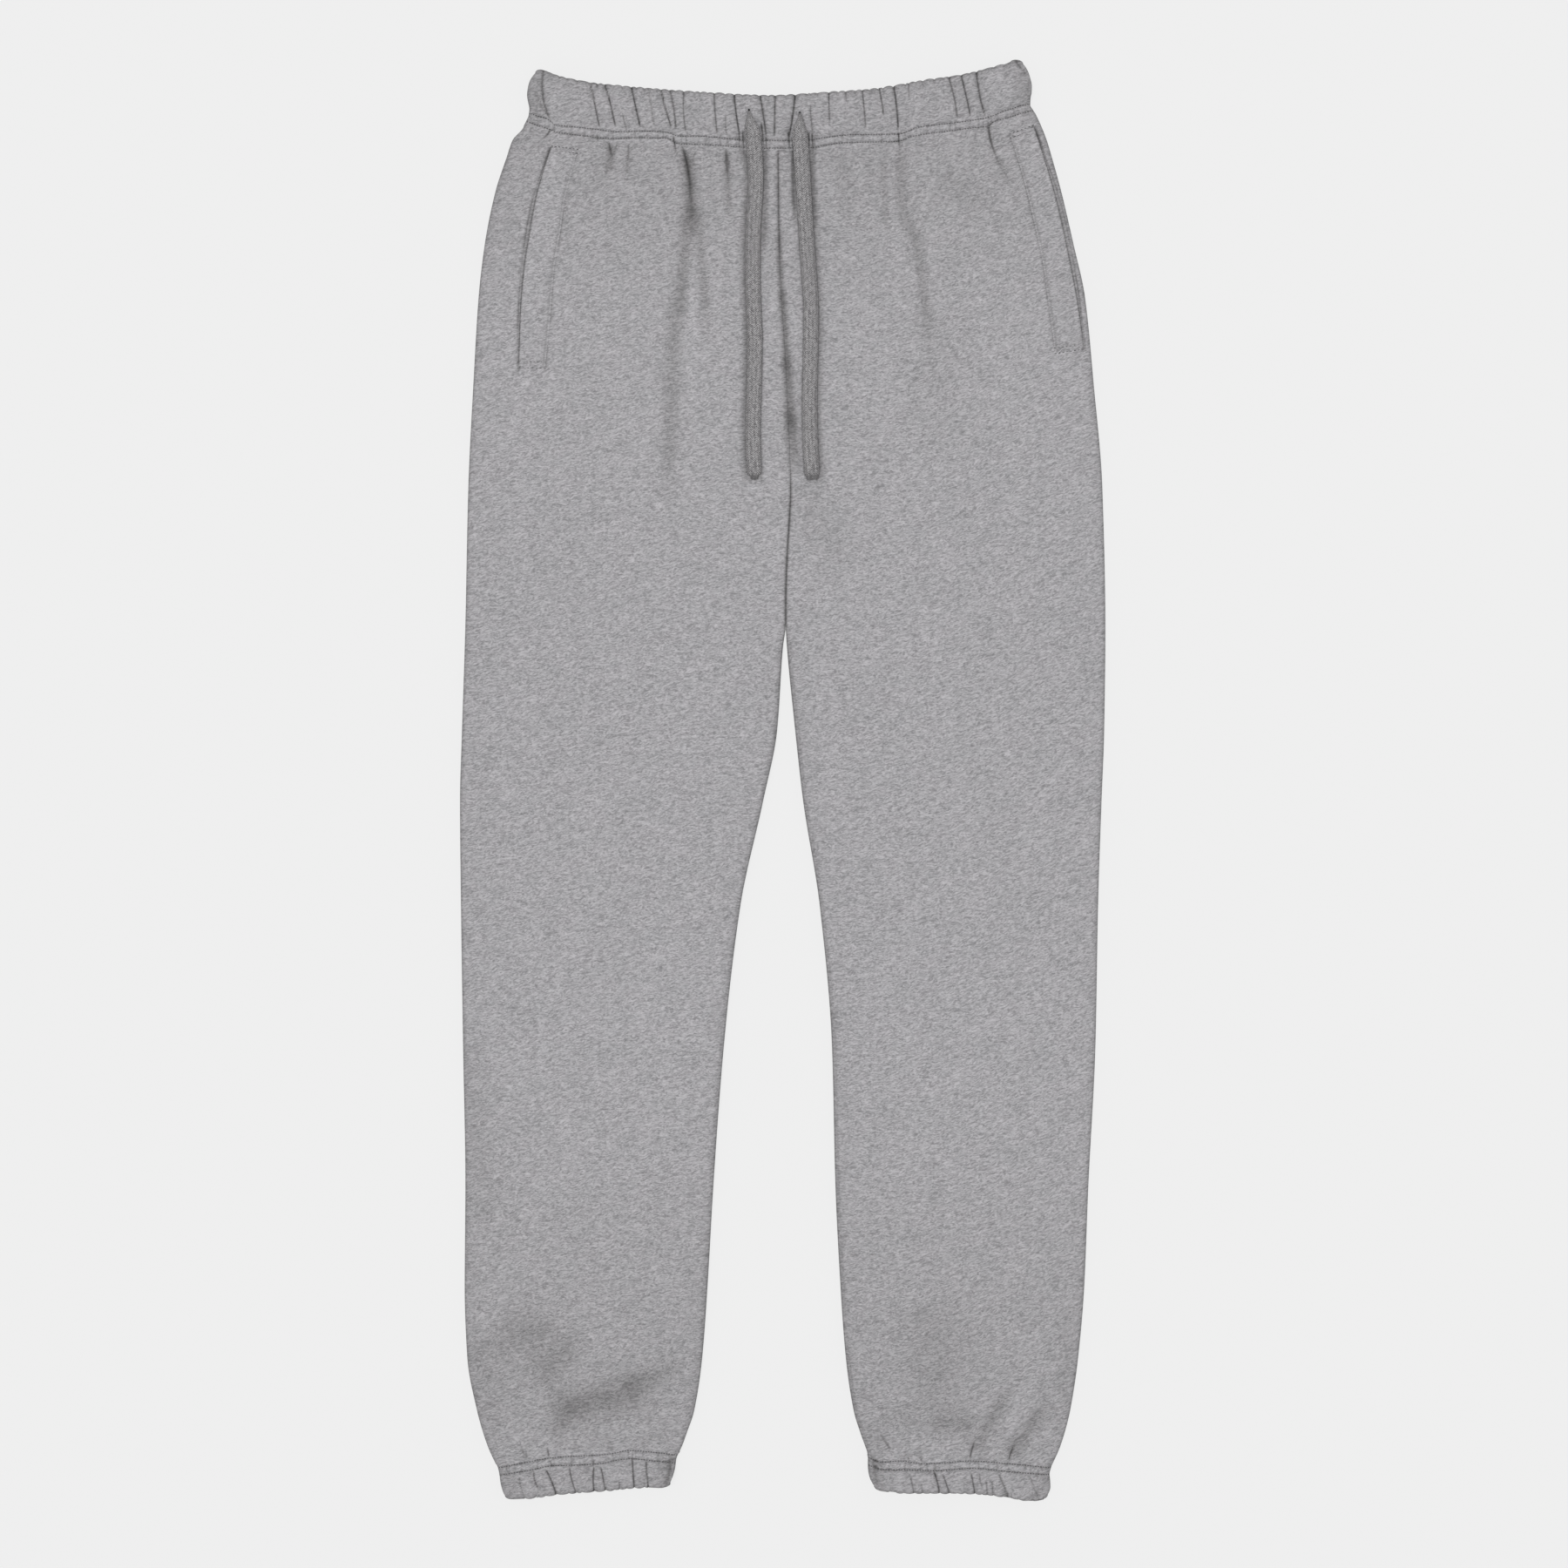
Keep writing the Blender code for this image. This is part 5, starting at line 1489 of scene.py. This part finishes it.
def braid_finish():
    finish = Finish("knitted_braid", {
        "Metallic": 0.0, "IOR": 1.45, "Specular IOR Level": 0.15, "Sheen Weight": 0.06,
        "Sheen Roughness": 0.5})
    place = finish.grain()
    across, along = (finish.node("ShaderNodeSeparateXYZ", {}, {"Vector": place}, axis)
                     for axis in (0, 1))
    zigzag = across.sum("PINGPONG", BRAID_BAND)
    wander = finish.noise(finish.stretched(place, 2.2, 2.2), 1.0, 2.0)
    phase = (along + zigzag + (wander - 0.5) * WANDER) * (2 * math.pi / STRAND_PITCH)
    strands = phase.sum("SINE") * 0.5 + 0.5
    ribs = (across * (2 * math.pi / BRAID_BAND)).sum("COSINE") * 0.5 + 0.5
    specks = finish.noise(finish.stretched(place, 0.8, 1.0, 5.0), 1.0, 2.0, 0.6)
    flecks = finish.noise(finish.stretched(place, 2.4, 3.6, 9.0), 1.0, 1.0, 0.5)
    weave = ((strands - 0.5) * STRAND_SHARE + (ribs - 0.5) * RIB_SHARE
             + (specks - 0.5) * SPECK_SHARE + (flecks - 0.5) * FLECK_SHARE)
    # The stored shade darkens the braid: painted shade at its edges and outer side, and its darker
    # tip.
    shade = finish.shade()
    colour = finish.blend((weave + 0.47).to(0.0, 1.0) * (1 - shade), BRAID_DARK, BRAID_PALE)
    finish.set("Base Color", colour)
    finish.set("Roughness", 0.9 - strands * 0.08)
    finish.set("Normal", finish.bump(strands * 0.6 + ribs * 0.2 + specks * 0.4, 0.5, 0.8))
    return finish.material


# %% Threads, and the painted shadow of a hole
def thread_finish(name, low, high):
    finish = Finish(name, {"Metallic": 0.0, "IOR": 1.45, "Specular IOR Level": 0.25})
    place = finish.node("ShaderNodeTexCoord", {}, {}, 3)
    twist = finish.noise(place, 2500.0, 2.0)
    finish.set("Base Color", finish.blend(twist.to(0.3, 0.7), low, high))
    finish.set("Roughness", 0.7 + twist * 0.2)
    return finish.material


braid_cloth = braid_finish()
# This thread's dark is painted shadow, standing for the shadowed needle holes along each row.
thread = thread_finish("dark_thread_painted_shadow", (0.055, 0.054, 0.057, 1), (0.12, 0.118, 0.123, 1))
pale_thread = thread_finish("pale_thread", (0.27, 0.265, 0.275, 1), (0.42, 0.415, 0.425, 1))
hole_dark = thread_finish("eyelet_shadow", (0.010, 0.010, 0.011, 1), (0.022, 0.021, 0.023, 1))

# %% [markdown]
# ## Stitches
#
# Sewing is one small shape repeated along a line, which is what Geometry Nodes are for. The tree
# takes lines, puts a point at each stitch, turns a short bead of thread along the line there, and
# varies its length a little with a fixed seed. It ends in real geometry with the thread's
# material, and the modifier is then replaced with its plain mesh.

# %% The stitching tree
STITCH_SIZES = ("Pitch", "Length", "Width", "Height", "Seed")
LEAST_STITCH, MOST_STITCH = 0.82, 1.1


def stitching_tree():
    tree = bpy.data.node_groups.new("stitches_along_lines", "GeometryNodeTree")
    sockets = [("Lines", "Geometry"), *((size, "Float") for size in STITCH_SIZES[:4]),
               ("Seed", "Int"), ("Thread", "Material")]
    for size, kind in sockets:
        tree.interface.new_socket(size, in_out="INPUT", socket_type="NodeSocket" + kind)
    tree.interface.new_socket("Stitches", in_out="OUTPUT", socket_type="NodeSocketGeometry")

    def add(kind, settings, inputs, output=0):
        return add_node(tree, kind, settings, inputs).outputs[output]

    sizes = add_node(tree, "NodeGroupInput", {}, {}).outputs
    line = add("GeometryNodeMeshToCurve", {}, {"Mesh": sizes["Lines"]})
    spaced = add("GeometryNodeResampleCurve", {"mode": "LENGTH"}, {
        "Curve": line, "Length": sizes["Pitch"]})
    bead = add("GeometryNodeMeshUVSphere", {}, {"Segments": 6, "Rings": 4, "Radius": 0.5})
    size = add("ShaderNodeCombineXYZ", {}, {
        "X": sizes["Length"], "Y": sizes["Width"], "Z": sizes["Height"]})
    shaped = add("GeometryNodeTransform", {}, {"Geometry": bead, "Scale": size})
    smooth = add("GeometryNodeSetShadeSmooth", {}, {"Geometry": shaped})
    heading = add("GeometryNodeInputTangent", {}, {})
    turned = add("FunctionNodeAlignRotationToVector", {"axis": "X"}, {"Vector": heading})
    uneven = add("FunctionNodeRandomValue", {"data_type": "FLOAT"}, {
        2: LEAST_STITCH, 3: MOST_STITCH, "Seed": sizes["Seed"]}, 1)
    placed = add("GeometryNodeInstanceOnPoints", {}, {
        "Points": spaced, "Instance": smooth, "Rotation": turned, "Scale": uneven})
    real = add("GeometryNodeRealizeInstances", {}, {"Geometry": placed})
    done = add("GeometryNodeSetMaterial", {}, {"Geometry": real, "Material": sizes["Thread"]})
    add_node(tree, "NodeGroupOutput", {}, {"Stitches": done})
    return tree


STITCHING = stitching_tree()
print("nodes of the stitching tree:", len(STITCHING.nodes))


# %% Sew along lines
def sew(name, lines, material, pitch, length, width, height, seed=1):
    """Stitches along lines of points in millimetres, as one plain mesh on the garment."""
    points, edges = [], []
    for line in lines:
        start = len(points)
        points += [tuple(np.array(point) * MM) for point in line]
        edges += [(start + i, start + i + 1) for i in range(len(line) - 1)]
    mesh = bpy.data.meshes.new(name + "_lines")
    mesh.from_pydata(points, edges, [])
    guide = put_in_scene(name + "_lines", mesh)
    modifier = guide.modifiers.new("stitching", "NODES")
    modifier.node_group = STITCHING
    values = dict(zip(STITCH_SIZES, (pitch * MM, length * MM, width * MM, height * MM, seed)))
    values["Thread"] = material
    for item in STITCHING.interface.items_tree:
        if item.in_out == "INPUT" and item.name in values:
            modifier[item.identifier] = values[item.name]
    graph = bpy.context.evaluated_depsgraph_get()
    made = bpy.data.meshes.new_from_object(guide.evaluated_get(graph))
    made.name = name
    bpy.data.objects.remove(guide)
    piece = put_in_scene(name, made)
    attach(piece, "root")
    print(f"{name}: {len(made.polygons)} faces")
    return piece


# %% Twin-needle rows on the casings, front and back
STITCH_LIFT = 0.2


def row_lines(name):
    """A casing's two rows on its upper face, and the same two on its hidden back."""
    parts, lines = CASINGS[name], []
    sides = parts["sides"]
    for row in parts["rows"]:
        x = np.arange(row.at[0], row.at[-1], 0.6)
        y = row("y", x)
        share = share_up(parts, x, y)
        inset = np.minimum(x - sides("left_x", share), sides("right_x", share) - x)
        x, y, share, inset = (values[inset > 0.5] for values in (x, y, share, inset))
        height, _ = casing_height(parts, x, y)
        top = mix(parts["profile"]("height", share), height, end_fade(inset))
        face = np.sqrt(1 - (1 - np.minimum(inset / CASING_RADIUS, 1)) ** 2)
        z = top * (face + 1) / 2
        lines.append(np.stack([x, y, z + STITCH_LIFT], axis=1))
        back = grooves(x, y, parts["rows"])[0]
        lines.append(np.stack([x, y, back - STITCH_LIFT], axis=1)[inset > CASING_RADIUS])
    return lines


# %% Sew the casings
for name in CASINGS:
    sew(name + "_stitches", row_lines(name), thread, pitch=1.9, length=1.05, width=0.8, height=0.5)


# %% Pocket topstitching and bar rows
BAR_ROWS = (-0.02, 0.1, 5.92, 6.0)
BAR_POINTS = 40


def on_front(x, y, lift):
    """Points on the fronts' upper face, or a little above it."""
    height, drop = soft_height(x, y)[0], crisp_drop(x, y)[0]
    return np.stack([x, y, height - np.minimum(drop, MOST_DROP) + lift], axis=1)


# %% Sew the pockets
for side in SIGN:
    rows = np.linspace(0.0, 6.0, 300)
    x, y = welt_line(side, TOPSTITCH_AT, rows)
    topstitch = [on_front(x, y, STITCH_LIFT)]
    bars = []
    for row in BAR_ROWS:
        across = np.linspace(0.0 if row < 3 else 0.02, 0.97, BAR_POINTS)
        x, y = welt_line(side, across, np.full(BAR_POINTS, np.clip(row, 0, 6)))
        shift = 1.4 if row < 0 else -1.2 if row == 6.0 else 0.0
        bars.append(on_front(x, y + shift, 0.5 if 0 < row < 6 else 0.1))
    sew(f"pocket_topstitch_{side}", topstitch, pale_thread,
        pitch=2.9, length=2.3, width=0.5, height=0.35, seed=2)
    sew(f"pocket_bars_{side}", bars, thread, pitch=2.6, length=1.7, width=0.6, height=0.35, seed=2)

# %% [markdown]
# ## Eyelets
#
# Each cord leaves through a tiny sewn eyelet: a hole a little over 2 mm across, bound with stitches
# that point at its middle. The same stitching tree binds it, with each stitch drawn as its own
# short line, and a dark cup stands for the hole: its dark is painted shadow.

# %% Eyelets
HOLE_RADIUS = 1.15
BINDING_RADIUS = 2.5
BINDING_STITCHES = 22
CUP_SIDES = 16
CUP_RIMS = ((HOLE_RADIUS + 0.25, 0.12), (HOLE_RADIUS * 0.6, 0.2), (0.2, 0.16))

# %% Bind the eyelets
for side, (centre_x, centre_y) in EYELETS.items():
    waist = CASINGS["waist_casing"]
    middle = casing_height(waist, np.array([centre_x]), np.array([centre_y]))[0][0]
    lines = []
    for turn in turns(BINDING_STITCHES):
        reach = np.array([HOLE_RADIUS, BINDING_RADIUS])
        x, y = centre_x + reach * math.cos(turn), centre_y + reach * math.sin(turn)
        z, _ = casing_height(waist, x, y)
        lines.append(np.stack([x, y, np.maximum(z, middle - 0.2) + (0.3, 0.05)], axis=1))
    binding = sew("eyelet_binding_" + side, lines, pale_thread,
                  pitch=0.75, length=0.95, width=0.42, height=0.35, seed=5)
    rims = [((centre_x + radius * math.cos(turn)) * MM, (centre_y + radius * math.sin(turn)) * MM,
             (middle + lift) * MM) for radius, lift in CUP_RIMS for turn in turns(CUP_SIDES)]
    floor = tuple(range(len(rims) - CUP_SIDES, len(rims)))
    cup = bpy.data.meshes.new("eyelet_hole_" + side)
    cup.from_pydata(rims, [], quads(len(CUP_RIMS), CUP_SIDES, wrap_columns=True) + [floor])
    cup.shade_smooth()
    cup.materials.append(hole_dark)
    hole = put_in_scene("eyelet_hole_" + side, cup)
    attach(hole, "root")
    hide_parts("eyelet_" + side)

# %% [markdown]
# ## Dressing the pieces
#
# Each cloth piece now takes the marl and stands in for its solid.

# %% Materials and places
def dress(piece, material, slot, *solids):
    piece.data.materials.append(material)
    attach(piece, "root")
    if solids:
        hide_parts(*solids)


for piece in cords:
    piece.data.materials.append(braid_cloth)
for side in SIGN:
    dress(fronts[side], fleece, "fleece", "front_panel_" + side)
    dress(backs[side], fleece, "fleece", "back_panel_" + side)
    dress(casings["cuff_casing_" + side], fleece, "fleece", "cuff_" + side)
    dress(welts[side], fleece, "fleece", "pocket_welt_" + side)
    dress(facings[side], fleece, "fleece", "pocket_facing_" + side)
dress(casings["waist_casing"], fleece, "fleece", "waistband")

# %% [markdown]
# ## Floor and light
#
# The garment was shot on a lit pale table under light that comes from everywhere above, so it has
# hardly a shadow. A table that glows by itself, as backlit acrylic does, keeps shadows faint. One
# very wide soft light from the wearer's right models the folds. It is a sun, which falls evenly on
# the whole table, and a bright even surround fills the rest.

# %% Table
TABLE_HALF = 3.0
TABLE_DROP = 0.0004
TABLE_GREY = (0.14, 0.14, 0.14, 1)
TABLE_GLOW = 0.722
table_mesh = bpy.data.meshes.new("table")
table_mesh.from_pydata([(x * TABLE_HALF, y * TABLE_HALF, -TABLE_DROP)
                        for x, y in ((-1, -1), (1, -1), (1, 1), (-1, 1))], [], [(0, 1, 2, 3)])
table = put_in_scene("table", table_mesh)
acrylic = Finish("lit_acrylic", {
    "Base Color": TABLE_GREY, "Roughness": 0.9, "Specular IOR Level": 0.0,
    "Emission Color": (1, 1, 1, 1), "Emission Strength": TABLE_GLOW})
table_mesh.materials.append(acrylic.material)
print("table:", 2 * TABLE_HALF, "m wide")

# %% Light
SUN_LEAN = 5
SUN_TURN = 155
SUN_ANGLE = 30
SUN_SHARE = 0.52
LIGHT = 1.0
sun_data = bpy.data.lights.new("wide_soft_light", "SUN")
sun_data.angle = math.radians(SUN_ANGLE)
sun_data.energy = LIGHT * SUN_SHARE * math.pi / math.cos(math.radians(SUN_LEAN))
sun = put_in_scene("wide_soft_light", sun_data)
sun.rotation_euler = (0, math.radians(SUN_LEAN), math.radians(SUN_TURN))

world = bpy.data.worlds.new("surround")
world.use_nodes = True
surround = world.node_tree.nodes["Background"].inputs
surround["Color"].default_value = (1, 1, 1, 1)
surround["Strength"].default_value = LIGHT * (1 - SUN_SHARE)
scene.world = world
scene.view_settings.view_transform = "Standard"
print("strength of the sun and the surround:", round(sun_data.energy, 3), LIGHT * (1 - SUN_SHARE))
